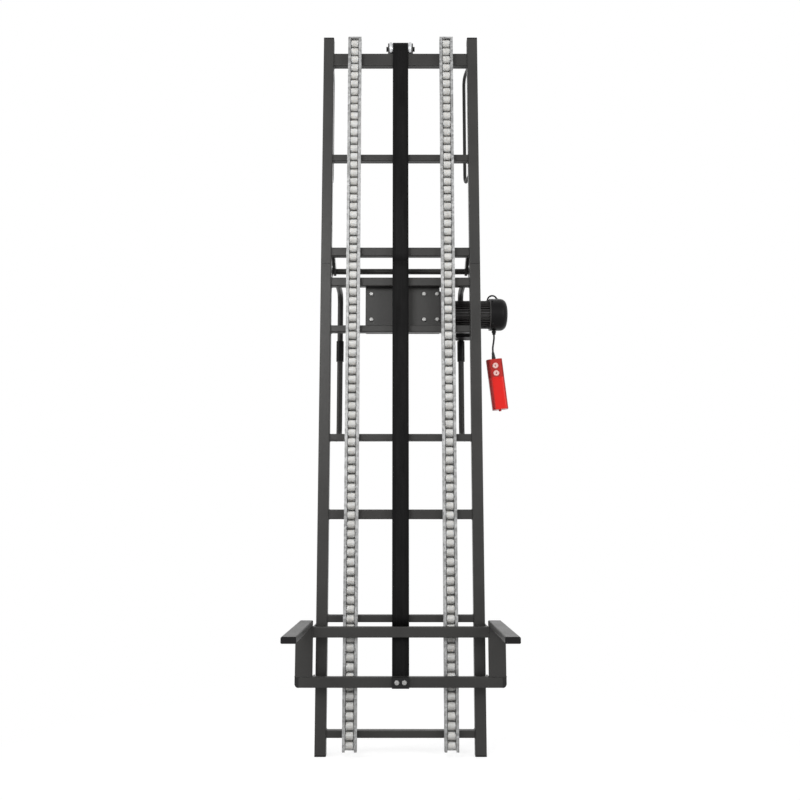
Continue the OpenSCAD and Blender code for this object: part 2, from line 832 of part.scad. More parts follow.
// Belt on the drum: one flat strip that spirals out from the core
module belt_winding() {
    last = winding_turns * wind_steps;
    corners = [
        for (i = [0:last]) let (low = wind_point(i, 0), high = wind_point(i, belt_t), h = belt_w / 2)
            each [[-h, low.x, low.y], [h, low.x, low.y], [h, high.x, high.y], [-h, high.x, high.y]]
    ];
    walls = [
        for (i = [0:last - 1], k = [0:3]) let (a = 4 * i + k, b = 4 * i + (k + 1) % 4)
            each [[a, b, a + 4], [b, b + 4, a + 4]]
    ];
    ends = [[2, 1, 0], [3, 2, 0], 4 * last * [1, 1, 1] + [0, 1, 2], 4 * last * [1, 1, 1] + [0, 2, 3]];
    color(belt_colour) polyhedron(corners, concat(walls, ends));
}

module motor_body() {
    fin_r = motor_d / 2;
    color(black_colour) translate([motor_x, winch_y, winch_z]) rotate([0, 90, 0]) {
        linear_extrude(motor_len - motor_shield_t) {
            circle(d = motor_core_d);
            for (i = [0:motor_fins - 1]) rotate(360 * i / motor_fins)
                translate([0, -motor_fin_t / 2]) square([fin_r, motor_fin_t]);
        }
        translate([0, 0, motor_len - motor_shield_t]) cylinder(d = cap_d, h = motor_shield_t);
        translate([0, 0, motor_len - lead_back]) rotate([0, -90, 0]) cylinder(d = boss_d, h = motor_seat);
    }
}

module cap_outline(r, length, round_r) {
    square([r, length - round_r]);
    square([r - round_r, length]);
    translate([r - round_r, length - round_r]) intersection() {
        circle(round_r);
        square(round_r);
    }
}

module cap_boss(x, side) {
    translate([cap_x + x, winch_y, winch_z + side * (cap_d / 2 - cap_wall)]) mirror([0, 0, side < 0 ? 1 : 0])
        cylinder(d = boss_d, h = cap_wall + boss_h);
}

module motor_cap() {
    color(black_colour) {
        translate([cap_x, winch_y, winch_z]) rotate([0, 90, 0]) rotate_extrude() difference() {
            cap_outline(cap_d / 2, cap_len, cap_r);
            translate([0, -overrun])
                cap_outline(cap_d / 2 - cap_wall, cap_len + overrun - cap_wall, cap_r - cap_wall);
        }
        cap_boss(lead_foot, 1);
        cap_boss(gland_in, -1);
    }
}

// Box hung under the motor, its top hollowed to the motor's round
module terminal_box() {
    color(black_colour) difference() {
        translate([motor_x + box_in + box_w / 2, winch_y, winch_z - box_drop])
            linear_extrude(box_drop - box_top_drop) round_rect(box_w, box_d, box_r);
        translate([motor_x, winch_y, winch_z]) rotate([0, 90, 0])
            cylinder(d = motor_d + 2 * box_gap, h = motor_len);
    }
}

// Loop of cable from the boss on the motor over to the boss on the cap
module motor_lead() {
    middle = [cap_x + lead_r - lead_back, winch_y, winch_z + motor_seat + lead_leg];
    route = concat(
        [middle - [lead_r, 0, lead_leg]],
        [for (i = [0:lead_steps]) let (a = 180 + (lead_end - 180) * i / lead_steps)
            middle + lead_r * [cos(a), 0, sin(a)]]
    );
    color(black_colour) swept_bar(route, lead_d, lead_sides, [0, 0, 1], [0, 0, -1], [0, 1, 0]);
}

module cord_gland() {
    color(black_colour) translate(gland_mouth) {
        cylinder(d = gland_neck_d, h = gland_len);
        translate([0, 0, gland_neck_len]) cylinder(d = gland_d, h = gland_len - gland_neck_len, $fn = 6);
    }
}

// Pendant
module pendant_cord() {
    color(black_colour) swept_bar(cord_route, cord_d, cord_sides, [0, 0, -1], pendant_down, [0, 1, 0]);
}

module in_pendant() {
    translate(pendant_top) rotate([0, -pendant_tilt, 0]) children();
}

// Ribbed taper that the cord leaves by
module pendant_strain_relief() {
    rib_len = relief_len / relief_ribs;
    function r_at(z) = relief_base_d / 2 + (cord_d / 2 + relief_groove - relief_base_d / 2) * z / relief_len;
    color(black_colour) in_pendant() rotate_extrude() polygon(concat(
        [[0, 0]],
        [for (i = [0:relief_ribs - 1]) each [
            [r_at(i * rib_len), i * rib_len],
            [r_at(i * rib_len), (i + 1 / 2) * rib_len],
            [r_at(i * rib_len) - relief_groove, (i + 1 / 2) * rib_len],
            [r_at(i * rib_len) - relief_groove, (i + 1) * rib_len]
        ]],
        [[0, relief_len]]
    ));
}

module pendant_case() {
    inset = 2 * pendant_wall;
    difference() {
        translate([0, 0, -pendant_len]) linear_extrude(pendant_len)
            round_rect(pendant_w, pendant_t, pendant_r);
        translate([0, 0, pendant_wall - pendant_len]) linear_extrude(pendant_len - inset)
            round_rect(pendant_w - inset, pendant_t - inset, pendant_r - pendant_wall);
    }
}

// Keeps the half of the pendant on one side of its parting plane
module pendant_half(side) {
    intersection() {
        children();
        translate([-pendant_w, side > 0 ? 0 : -pendant_t, -2 * pendant_len])
            cube([2 * pendant_w, pendant_t, 3 * pendant_len]);
    }
}

module at_button(i) {
    translate([0, -pendant_t / 2, -button_top - i * button_pitch]) along_y() children();
}

module pendant_front() {
    color(red_colour) in_pendant() difference() {
        union() {
            pendant_half(-1) pendant_case();
            translate([0, -pendant_t / 2 - pad_t, -pad_top - pad_h / 2]) along_y()
                linear_extrude(pad_t + pendant_wall) round_rect(pad_w, pad_h, pad_r);
        }
        for (i = [0, 1]) at_button(i) translate([0, 0, -pad_t - overrun])
            cylinder(d = button_d + 2 * button_gap, h = pad_t + pendant_wall + 2 * overrun);
    }
}

module pendant_back() {
    color(red_colour) in_pendant() {
        pendant_half(1) pendant_case();
        translate([0, pendant_t / 4, -pendant_len - nub_len]) cylinder(d = nub_d, h = nub_len);
    }
}

// Push button with a domed edge and a flange that keeps it in the case
module push_button(i) {
    front = -pad_t - button_proud;
    seat = pendant_wall + button_gap;
    r = button_d / 2;
    color(white_colour) in_pendant() at_button(i) rotate_extrude() polygon([
        [0, front],
        [r - button_dome, front],
        [r, front + button_dome],
        [r, seat],
        [r + button_flange_lip, seat],
        [r + button_flange_lip, seat + button_flange_t],
        [0, seat + button_flange_t]
    ]);
}

module button_up() push_button(0);
module button_down() push_button(1);

// Belt stretches
module belt_strip(points) {
    translate([-belt_w / 2, 0, 0]) along_x() linear_extrude(belt_w) polygon(points);
}

module belt_front_lower() {
    low = [belt_front_y, carriage_top + belt_gap];
    high = [belt_front_y, lower_len - belt_gap];
    color(belt_colour) belt_strip(strip(low, high, belt_t));
}

module belt_front_upper() {
    low = on_line(front_base, front_top, lower_len + belt_gap);
    high = on_line(front_base, front_top, front_top.y - belt_gap);
    color(belt_colour) belt_strip(strip(low, high, belt_t));
}

module belt_back_upper() {
    low = on_line(back_top, back_bottom, lower_len + belt_gap);
    color(belt_colour) {
        belt_strip(strip(low, back_top, belt_t));
        translate([0, pulley_y, pulley_z]) along_x() rotate(back_lean)
            rotate_extrude(angle = 180 - front_lean - back_lean)
                translate([pulley_r - belt_t / 2, -belt_w / 2]) square([belt_t, belt_w]);
    }
}

module belt_back_lower() {
    high = on_line(back_top, back_bottom, lower_len - belt_gap);
    color(belt_colour) belt_strip(strip(back_bottom, high, belt_t));
}

// Top pulley and what carries it
module pulley_cheeks() {
    half = rung_front - tube_r;
    r = cheek_eye_d / 2;
    root_low = [half, top_rung_top];
    root_high = [-half, top_rung_top];
    color(frame_colour) both_sides() translate([cheek_in, 0, 0])
    along_x() linear_extrude(cheek_t) difference() {
        union() {
            polygon([root_low, root_high, [pulley_y - r, pulley_z], [pulley_y + r, pulley_z]]);
            translate(pulley_c) circle(r);
        }
        translate(pulley_c) circle(pulley_bolt_d / 2 + running_gap);
        translate([pulley_y - r, top_rung_top - 2 * r]) square(2 * r);
    }
}

module pulley_bolt() {
    outer = cheek_in + cheek_t;
    color(black_colour) translate([0, pulley_y, pulley_z]) rotate([0, 90, 0]) {
        cylinder(d = pulley_bolt_d, h = 2 * (outer + pulley_head_t), center = true);
        for (s = [-1, 1]) translate([0, 0, s * (outer + pulley_head_t / 2)])
            cylinder(d = across_corners(pulley_head), h = pulley_head_t, center = true, $fn = 6);
    }
}

module top_pulley() {
    flange_in = belt_w / 2 + drum_side_gap;
    seat_r = pulley_seat_d / 2;
    flange_r = pulley_flange_d / 2;
    bore = pulley_bolt_d / 2 + running_gap;
    color(zinc_colour) translate([0, pulley_y, pulley_z]) rotate([0, 90, 0]) rotate_extrude()
        polygon(mirrored([
            [bore, flange_in + pulley_flange_t],
            [flange_r - roller_chamfer, flange_in + pulley_flange_t],
            [flange_r, flange_in + pulley_flange_t - roller_chamfer],
            [flange_r, flange_in + roller_chamfer],
            [seat_r, flange_in]
        ]));
}

// Carriage
module carriage_bars() {
    hole = clamp_bolt_d + 2 * bolt_gap;
    color(frame_colour) {
        translate([-side_x, carriage_back - bar_d / 2, upper_bar_z]) along_x()
            box_tube(bar_d, bar_h, bar_wall, 2 * side_x);
        difference() {
            translate([-bar_half, carriage_back - bar_d / 2, lower_bar_z]) along_x()
                box_tube(bar_d, bar_h, bar_wall, 2 * bar_half);
            for (x = clamp_bolt_xs) translate([x, carriage_front - overrun, lower_bar_z]) along_y()
                cylinder(d = hole, h = bar_wall + 2 * overrun);
        }
    }
}

module carriage_sides() {
    color(frame_colour) both_sides()
        translate([side_x + side_w / 2, carriage_back - bar_d / 2, carriage_z + bar_h])
            box_tube(side_w, bar_d, bar_wall, carriage_h - bar_h);
}

module at_fork() {
    both_sides() translate([side_x + fork_inset + fork_w / 2, carriage_back, carriage_top + fork_t / 2])
        rotate([90, 0, 0]) children();
}

module fork_arms() {
    color(frame_colour) at_fork() translate([0, 0, fork_plug_t])
        box_tube(fork_w, fork_t, bar_wall, fork_len - 2 * fork_plug_t);
}

// Plugs in the ends of the fork arms, and rounded ones in the lower bar
module end_plugs() {
    inset = 2 * bar_wall + 2 * plug_gap;
    round_r = bar_plug_len;
    color(black_colour) {
        at_fork() tube_plug(fork_w, fork_t, bar_wall, fork_plug_t, plug_depth);
        at_fork() translate([0, 0, fork_len]) mirror([0, 0, 1])
            tube_plug(fork_w, fork_t, bar_wall, fork_plug_t, plug_depth);
        both_sides() translate([bar_half, carriage_back, carriage_z])
        rotate([90, 0, 0]) linear_extrude(bar_d) {
            translate([0, round_r]) square([bar_plug_len, bar_h - round_r]);
            translate([0, round_r]) intersection() {
                circle(round_r);
                translate([0, -round_r]) square([round_r, round_r]);
            }
        }
        both_sides() translate([bar_half - plug_depth, carriage_back - bar_d / 2, lower_bar_z]) along_x()
            linear_extrude(plug_depth) round_rect(bar_d - inset, bar_h - inset, tube_r - bar_wall);
    }
}

// Plates behind the bars, the upper with a stud for the rear bearing and the lower for the front one
module guide_plates() {
    back = bearing_y + bearing_d / 2;
    toe = guide_toe - stile_w / 2 - bearing_d / 2;
    stud_len = frame_w / 2 + guide_gap - bearing_x;
    color(frame_colour) both_sides() {
        translate([frame_w / 2 + guide_gap, 0, 0]) along_x() linear_extrude(guide_t) {
            translate([carriage_back, carriage_z]) square([toe - carriage_back, guide_h]);
            translate([carriage_back, carriage_top - guide_h]) square([back - carriage_back, guide_h]);
        }
        for (p = [[bearing_y, rear_bearing_z], [-bearing_y, front_bearing_z]])
            translate([bearing_x, p.x, p.y]) rotate([0, 90, 0]) {
                cylinder(d = stud_d, h = stud_len);
                translate([0, 0, -stud_head_t - wheel_gap]) {
                    cylinder(d = stud_head_d, h = stud_head_t);
                    cylinder(d = stud_d, h = stud_head_t + 2 * wheel_gap);
                }
                translate([0, 0, bearing_w + wheel_gap])
                    cylinder(d = stud_head_d, h = stud_len - bearing_w - wheel_gap);
            }
    }
}

// Ball bearing, seen as its two rings with a recessed shield between them
module guide_bearing(side, y, z) {
    half = bearing_w / 2;
    shield = half - bearing_groove;
    bore = stud_d / 2 + running_gap;
    r = bearing_d / 2;
    color(zinc_colour) translate([side * (bearing_x + half), y, z]) rotate([0, 90, 0]) rotate_extrude()
        polygon(mirrored([
            [bore, half],
            [bore + bearing_ring / 2, half],
            [bore + bearing_ring / 2, shield],
            [r - bearing_ring / 2, shield],
            [r - bearing_ring / 2, half],
            [r, half]
        ]));
}

module guide_bearing_rear_left() guide_bearing(-1, bearing_y, rear_bearing_z);
module guide_bearing_rear_right() guide_bearing(1, bearing_y, rear_bearing_z);
module guide_bearing_front_left() guide_bearing(-1, -bearing_y, front_bearing_z);
module guide_bearing_front_right() guide_bearing(1, -bearing_y, front_bearing_z);

// Belt behind the bars, round under the lower bar and up its front
module belt_end() {
    back = carriage_back + belt_t;
    front = carriage_front - belt_t;
    color(belt_colour) difference() {
        translate([-belt_w / 2, 0, 0]) along_x() linear_extrude(belt_w) {
            translate([carriage_back, carriage_z]) square([belt_t, carriage_h]);
            translate([front, carriage_z]) square([belt_t, bar_h]);
            translate([carriage_front, carriage_z - belt_t]) square([bar_d, belt_t]);
            translate([carriage_back, carriage_z]) intersection() {
                circle(belt_t);
                translate([0, -belt_t]) square(belt_t);
            }
            translate([carriage_front, carriage_z]) intersection() {
                circle(belt_t);
                translate([-belt_t, -belt_t]) square(belt_t);
            }
        }
        for (x = clamp_bolt_xs) translate([x, front - overrun, lower_bar_z]) along_y()
            cylinder(d = clamp_bolt_d + 2 * bolt_gap, h = belt_t + 2 * overrun);
    }
}

module belt_clamp() {
    face = carriage_front - belt_t - clamp_t;
    color(black_colour) difference() {
        translate([0, face, lower_bar_z]) along_y() linear_extrude(clamp_t)
            round_rect(clamp_w, clamp_h, tube_r);
        for (x = clamp_bolt_xs) translate([x, face - overrun, lower_bar_z]) along_y()
            cylinder(d = clamp_bolt_d + 2 * bolt_gap, h = clamp_t + 2 * overrun);
    }
}

module clamp_bolts() {
    grip = clamp_t + belt_t + bar_wall;
    color(zinc_colour) for (x = clamp_bolt_xs)
        translate([x, carriage_front - belt_t - clamp_t, lower_bar_z]) along_y() {
            translate([0, 0, -clamp_washer_t]) cylinder(d = clamp_washer_d, h = clamp_washer_t);
            translate([0, 0, -clamp_washer_t - clamp_head_t])
                cylinder(d = across_corners(clamp_head), h = clamp_head_t, $fn = 6);
            cylinder(d = clamp_bolt_d, h = grip + clamp_nut_t);
            translate([0, 0, grip]) cylinder(d = across_corners(clamp_head), h = clamp_nut_t, $fn = 6);
        }
}

lower_stile_left();
lower_stile_right();
lower_rungs();
foot_plugs();
track_lower_left();
track_lower_right();
rollers_lower_left();
rollers_lower_right();
roller_pins_lower();
winch_plate();
winch_bolts();
drum_bracket();
winch_gearbox();
motor_body();
motor_cap();
terminal_box();
motor_lead();
cord_gland();
pendant_cord();
pendant_strain_relief();
pendant_front();
pendant_back();
hinge_lugs();
hinge_axle();
lower_bows();
bow_grips();
belt_front_lower();
belt_back_lower();
upper_stile_left();
upper_stile_right();
upper_rungs();
stile_caps();
track_upper_left();
track_upper_right();
rollers_upper_left();
rollers_upper_right();
roller_pins_upper();
hinge_arms();
upper_bows();
pulley_cheeks();
pulley_bolt();
belt_front_upper();
belt_back_upper();
top_pulley();
winch_drum();
belt_winding();
carriage_bars();
carriage_sides();
fork_arms();
end_plugs();
guide_plates();
belt_end();
belt_clamp();
clamp_bolts();
guide_bearing_rear_left();
guide_bearing_rear_right();
guide_bearing_front_left();
guide_bearing_front_right();
button_up();
button_down();
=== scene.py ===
"""Looks of the ladder material hoist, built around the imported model."""
import json
import math

import bmesh
import bpy
from mathutils import Matrix, Vector
from mathutils import noise as field


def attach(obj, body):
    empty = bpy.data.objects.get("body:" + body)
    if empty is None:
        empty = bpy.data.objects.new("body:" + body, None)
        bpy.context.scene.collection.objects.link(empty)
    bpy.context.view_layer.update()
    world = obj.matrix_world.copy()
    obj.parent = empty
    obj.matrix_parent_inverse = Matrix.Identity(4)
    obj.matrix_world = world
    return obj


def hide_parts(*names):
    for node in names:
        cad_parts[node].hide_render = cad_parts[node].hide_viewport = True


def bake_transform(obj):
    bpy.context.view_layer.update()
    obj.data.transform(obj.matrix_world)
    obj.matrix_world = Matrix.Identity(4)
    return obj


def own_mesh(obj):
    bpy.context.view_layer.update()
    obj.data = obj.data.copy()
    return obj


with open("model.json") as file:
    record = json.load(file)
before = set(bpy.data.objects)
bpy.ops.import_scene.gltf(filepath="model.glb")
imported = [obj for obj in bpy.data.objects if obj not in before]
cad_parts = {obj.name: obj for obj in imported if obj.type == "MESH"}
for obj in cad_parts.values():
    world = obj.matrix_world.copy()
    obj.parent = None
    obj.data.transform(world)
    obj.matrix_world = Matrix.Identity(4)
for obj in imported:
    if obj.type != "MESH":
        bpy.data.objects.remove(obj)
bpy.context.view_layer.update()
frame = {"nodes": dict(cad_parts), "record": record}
NODES = frame["nodes"]

X, Y, Z = Vector((1, 0, 0)), Vector((0, 1, 0)), Vector((0, 0, 1))
SIDES = (-1, 1)

# Ladder frame: sizes of the model in metres, as in the part's source
RUNG_END = 0.260
RUNG_BACK = 0.015
RUNG_FRONT = -0.015
STILE_BACK = 0.020
SEAM_Z = 1.773
# Middle of each rung along Z, and its height
LOWER_RUNGS = [(0.07429, 0.026), (0.46825, 0.026), (0.83615, 0.035), (1.11575, 0.026), (1.5234, 0.026),
               (1.704, 0.033)]
UPPER_RUNGS = [(1.821, 0.033), (2.19527, 0.026), (2.5995, 0.050)]
TRACK_X = 0.177
TRACK_W = 0.051
TRACK_FRONT = -0.048
LOWER_BOW_X = 0.237
# Rungs that carry the lower bows, by their place in the list
LOWER_BOW_RUNGS = (3, 5)
UPPER_BOW_X = 0.2675
UPPER_BOW_ZS = (2.587, 2.139)
LUG_FACES = (0.263, 0.269)
LUG_ROOT_ZS = (1.692, 1.765)
ARM_FACE = 0.2505
ARM_ROOT_ZS = (1.808, 1.834)
CHEEK_FACES = (0.0435, 0.0485)
CHEEK_FOOT_Z = 2.6245

# Belt, with the axles of pulley and winch as (y, z) points
BELT_W = 0.060
BELT_T = 0.003
BELT_FRONT_Y = -0.0525
PULLEY = Vector((0.004, 2.6518))
PULLEY_R = 0.0229
WINCH = Vector((0.1, 1.60395))
WIND_START_R = 0.0204
WIND_PITCH = 0.0035
WIND_TURNS = 6.5
STRAND_R = 0.04805

# Carriage
CARRIAGE_Z = 0.2405
CARRIAGE_TOP = 0.446
CARRIAGE_BACK = -0.054
CARRIAGE_FRONT = -0.079
BAR_H = 0.037
SIDE_X = 0.306
SIDE_W = 0.060
FORK_W = 0.046
FORK_INSET = 0.001
GUIDE_T = 0.005

# Winch and pendant, with angles in degrees
PLATE_TOP = 1.7075
CAP_X = 0.345
CAP_D = 0.123
CAP_END = 0.409
BOX_DROP = 0.0945
LEAD_MIDDLE = Vector((0.3555, 0.1, 1.66195))
LEAD_R = 0.018
LEAD_LEG = 0.0015
LEAD_END = 19.4712
LEAD_D = 0.0065
CORD_D = 0.007
GLAND_MOUTH = Vector((0.360, 0.1, 1.52595))
PENDANT_TOP = Vector((0.35834, 0.1, 1.42714))
PENDANT_TILT = 6.4
PANEL_H = 0.071


# Node materials
def feed(tree, socket, value):
    """Links an output to the socket, or sets the socket's own value."""
    if isinstance(value, bpy.types.NodeSocket):
        tree.links.new(value, socket)
    else:
        socket.default_value = value


def add_node(tree, kind, **settings):
    """New node, with its inputs fed and its options set by name."""
    made = tree.nodes.new(kind)
    for key, value in settings.items():
        name = key.replace("_", " ")
        if name in made.inputs:
            feed(tree, made.inputs[name], value)
        else:
            setattr(made, key, value)
    return made


class Look:
    """A node material that is put together socket by socket."""

    def __init__(self, name, colour, rough, metal=0.0, **sockets):
        self.mat = bpy.data.materials.new(name)
        self.mat.use_nodes = True
        self.mat.diffuse_color = (*colour, 1)
        self.tree = self.mat.node_tree
        self.shader = self.tree.nodes["Principled BSDF"]
        self.put("Base Color", (*colour, 1))
        self.put("Roughness", rough)
        self.put("Metallic", metal)
        for socket, value in sockets.items():
            self.put(socket.replace("_", " "), value)
        self.places = self.node("ShaderNodeTexCoord").outputs["Object"]
        self.normal = None

    def put(self, socket, value):
        feed(self.tree, self.shader.inputs[socket], value)

    def node(self, kind, **settings):
        return add_node(self.tree, kind, **settings)

    def split(self, vector):
        return self.node("ShaderNodeSeparateXYZ", Vector=vector).outputs

    def noise(self, scale, detail=3.0, rough=0.55, stretch=None):
        vector = self.places
        if stretch:
            vector = self.node("ShaderNodeMapping", Vector=vector, Scale=stretch).outputs["Vector"]
        made = self.node("ShaderNodeTexNoise", Vector=vector, Scale=scale, Detail=detail, Roughness=rough)
        return made.outputs["Fac"]

    def cells(self, scale):
        made = self.node("ShaderNodeTexVoronoi", Vector=self.places, Scale=scale)
        return self.node("ShaderNodeSeparateColor", Color=made.outputs["Color"]).outputs["Red"]

    def spread(self, value, low, high, to_low=0.0, to_high=1.0, smooth=False):
        made = self.node("ShaderNodeMapRange", interpolation_type="SMOOTHSTEP" if smooth else "LINEAR",
                         Value=value, From_Min=low, From_Max=high, To_Min=to_low, To_Max=to_high)
        return made.outputs["Result"]

    def math(self, operation, a, b=0.0):
        made = self.node("ShaderNodeMath", operation=operation)
        feed(self.tree, made.inputs[0], a)
        feed(self.tree, made.inputs[1], b)
        return made.outputs["Value"]

    def mix(self, share, a, b):
        """Blend of two colours, by the node's own colour sockets."""
        made = self.node("ShaderNodeMix", data_type="RGBA")
        feed(self.tree, made.inputs[0], share)
        for socket, colour in ((made.inputs[6], a), (made.inputs[7], b)):
            feed(self.tree, socket, colour if isinstance(colour, bpy.types.NodeSocket) else (*colour, 1))
        return made.outputs[2]

    def bump(self, height, depth, strength=1.0):
        made = self.node("ShaderNodeBump", Height=height, Distance=depth, Strength=strength)
        if self.normal is not None:
            feed(self.tree, made.inputs["Normal"], self.normal)
        self.normal = made.outputs["Normal"]
        self.put("Normal", self.normal)

    def edges(self, radius):
        """1 on edges, 0 on flat ground."""
        made = self.node("ShaderNodeVectorMath", operation="DOT_PRODUCT")
        feed(self.tree, made.inputs[0], self.node("ShaderNodeBevel", Radius=radius).outputs["Normal"])
        feed(self.tree, made.inputs[1], self.node("ShaderNodeNewGeometry").outputs["Normal"])
        return self.spread(made.outputs["Value"], 1.0, 0.82)


def shade(colour, by):
    return tuple(min(1.0, c * by) for c in colour)


def painted_steel(name, colour, rough=0.40):
    """Satin powder coat: fine orange peel, soft mottling and thin rubbed edges, painted paler partly as wear
    and partly as a painted edge highlight.
    """
    look = Look(name, colour, rough, Specular_IOR_Level=0.3)
    cloud = look.noise(6.0, 4.0)
    grain = look.noise(140.0, 2.0)
    tone = look.mix(look.spread(cloud, 0.3, 0.7), shade(colour, 0.86), shade(colour, 1.16))
    rubbed = look.spread(look.noise(55.0, 5.0, 0.7), 0.46, 0.66, smooth=True)
    # Paler edges: partly rubbed wear, partly a painted highlight along the edges.
    worn_edge_highlight = look.math("MULTIPLY", look.math("MULTIPLY", look.edges(0.0012), rubbed), 0.55)
    tone = look.mix(worn_edge_highlight, tone, (0.16, 0.155, 0.15))
    specks = look.spread(look.noise(420.0, 1.0), 0.69, 0.75)
    look.put("Base Color", look.mix(look.math("MULTIPLY", specks, 0.35), tone, shade(colour, 2.4)))
    look.put("Roughness", look.spread(look.math("ADD", cloud, grain), 0.6, 1.4, rough - 0.07, rough + 0.09))
    look.bump(look.noise(900.0, 2.0), 0.00014, 0.5)
    return look.mat


def galvanised_sheet():
    """Zinc-dipped sheet with flat crystals, faint rolling marks and dull stains, and painted light on the
    inside faces of the channel behind the rollers.
    """
    look = Look("galvanised", (0.33, 0.332, 0.332), 0.5, 0.6)
    crystal = look.cells(125.0)
    stain = look.noise(26.0, 4.0)
    tone = look.mix(crystal, (0.21, 0.211, 0.211), (0.46, 0.462, 0.462))
    tone = look.mix(look.spread(stain, 0.48, 0.75), tone, (0.20, 0.20, 0.196))
    place = look.split(look.places)
    skin = 0.001
    off_middle = look.math("SUBTRACT", look.math("ABSOLUTE", place["X"]), TRACK_X)
    inside = look.math("LESS_THAN", look.math("ABSOLUTE", off_middle), TRACK_W / 2 - skin)
    for test, level in (("GREATER_THAN", TRACK_FRONT + skin), ("LESS_THAN", RUNG_FRONT - skin)):
        inside = look.math("MULTIPLY", inside, look.math(test, place["Y"], level))
    # Inside faces of the channel are painted pale and matte: painted light where the rollers shade them.
    look.put("Base Color", look.mix(inside, tone, (0.80, 0.80, 0.79)))
    look.put("Metallic", look.spread(inside, 0.0, 1.0, 0.6, 0.0))
    look.put("Roughness", look.spread(crystal, 0.0, 1.0, 0.42, 0.60))
    look.bump(look.noise(260.0, 2.0, stretch=(1, 1, 0.04)), 0.0001, 0.3)
    return look.mat


def dull_zinc():
    """Passivated zinc on forged heads: dull, with the light caught on rounded edges."""
    colour = (0.36, 0.358, 0.35)
    look = Look("zinc_bolts", colour, 0.42, 0.55)
    haze = look.noise(120.0, 4.0)
    look.put("Base Color", look.mix(look.spread(haze, 0.35, 0.7), shade(colour, 1.15), shade(colour, 0.75)))
    look.put("Roughness", look.spread(haze, 0.3, 0.7, 0.36, 0.52))
    look.normal = look.node("ShaderNodeBevel", Radius=0.003, samples=8).outputs["Normal"]
    look.bump(look.noise(1500.0, 2.0), 0.00006, 0.4)
    return look.mat


def turned_metal():
    """Aluminium from the lathe, with tool marks that run round the axle."""
    look = Look("pulley_metal", (0.68, 0.69, 0.70), 0.3, 1.0)
    marks = look.noise(55.0, 3.0, stretch=(40, 1, 1))
    look.put("Base Color", look.mix(marks, (0.60, 0.61, 0.62), (0.74, 0.75, 0.76)))
    look.put("Roughness", look.spread(marks, 0.3, 0.7, 0.24, 0.4))
    look.bump(marks, 0.00005, 0.4)
    return look.mat


def roller_plastic():
    """Pale translucent rollers: each a little different, with scuffs that run round and specks of dust."""
    look = Look("rollers", (0.66, 0.655, 0.635), 0.46, Subsurface_Weight=0.8, Subsurface_Scale=0.012,
                Subsurface_Radius=(1.0, 0.95, 0.9))
    lot = look.node("ShaderNodeTexNoise", Vector=look.places, Scale=26.0, Detail=0.0).outputs["Fac"]
    dust = look.noise(160.0, 5.0, 0.65)
    tone = look.mix(look.spread(lot, 0.3, 0.7), (0.585, 0.58, 0.56), (0.68, 0.675, 0.655))
    scuffs = look.spread(look.noise(70.0, 3.0, stretch=(5, 1, 1)), 0.56, 0.74)
    tone = look.mix(look.math("MULTIPLY", scuffs, 0.4), tone, (0.50, 0.495, 0.48))
    look.put("Base Color", look.mix(look.spread(dust, 0.55, 0.85), tone, (0.57, 0.56, 0.54)))
    look.put("Roughness", look.spread(dust, 0.3, 0.7, 0.4, 0.54))
    look.bump(look.noise(700.0, 2.0), 0.0001, 0.4)
    return look.mat


def moulded(name, colour, rough, grain=1400.0, depth=0.00014, spread_by=0.18, gloss=0.5):
    """Moulded plastic or rubber with a fine spark-eroded grain, paler where hands rub it."""
    look = Look(name, colour, rough, Specular_IOR_Level=gloss)
    cloud = look.noise(16.0, 3.0)
    tone = look.mix(look.spread(cloud, 0.3, 0.7), shade(colour, 1 - spread_by), shade(colour, 1 + spread_by))
    rub = look.math("MULTIPLY", look.edges(0.0009), look.spread(look.noise(60.0, 4.0), 0.45, 0.65))
    look.put("Base Color", look.mix(look.math("MULTIPLY", rub, 0.3), tone, shade(colour, 2.2)))
    look.put("Roughness", look.spread(cloud, 0.3, 0.7, rough - 0.06, rough + 0.08))
    look.bump(look.noise(grain, 1.0), depth, 0.5)
    return look.mat


def plug_plastic():
    """Dark grey end plugs, black on the fork arms."""
    dark, grey = (0.0045, 0.0042, 0.0045), (0.022, 0.0215, 0.021)
    look = Look("plugs", grey, 0.46, Specular_IOR_Level=0.2)
    level = look.split(look.places)["Z"]
    above_bars = look.math("GREATER_THAN", level, CARRIAGE_Z + BAR_H)
    below_top = look.math("LESS_THAN", level, CARRIAGE_TOP + FORK_W)
    tone = look.mix(look.math("MULTIPLY", above_bars, below_top), grey, dark)
    cloud = look.noise(40.0, 3.0)
    look.put("Base Color", look.mix(look.spread(cloud, 0.3, 0.8, 0.0, 0.4), tone, (0.010, 0.010, 0.010)))
    look.put("Roughness", look.spread(cloud, 0.3, 0.7, 0.4, 0.54))
    look.bump(look.noise(1400.0, 1.0), 0.00014, 0.5)
    return look.mat


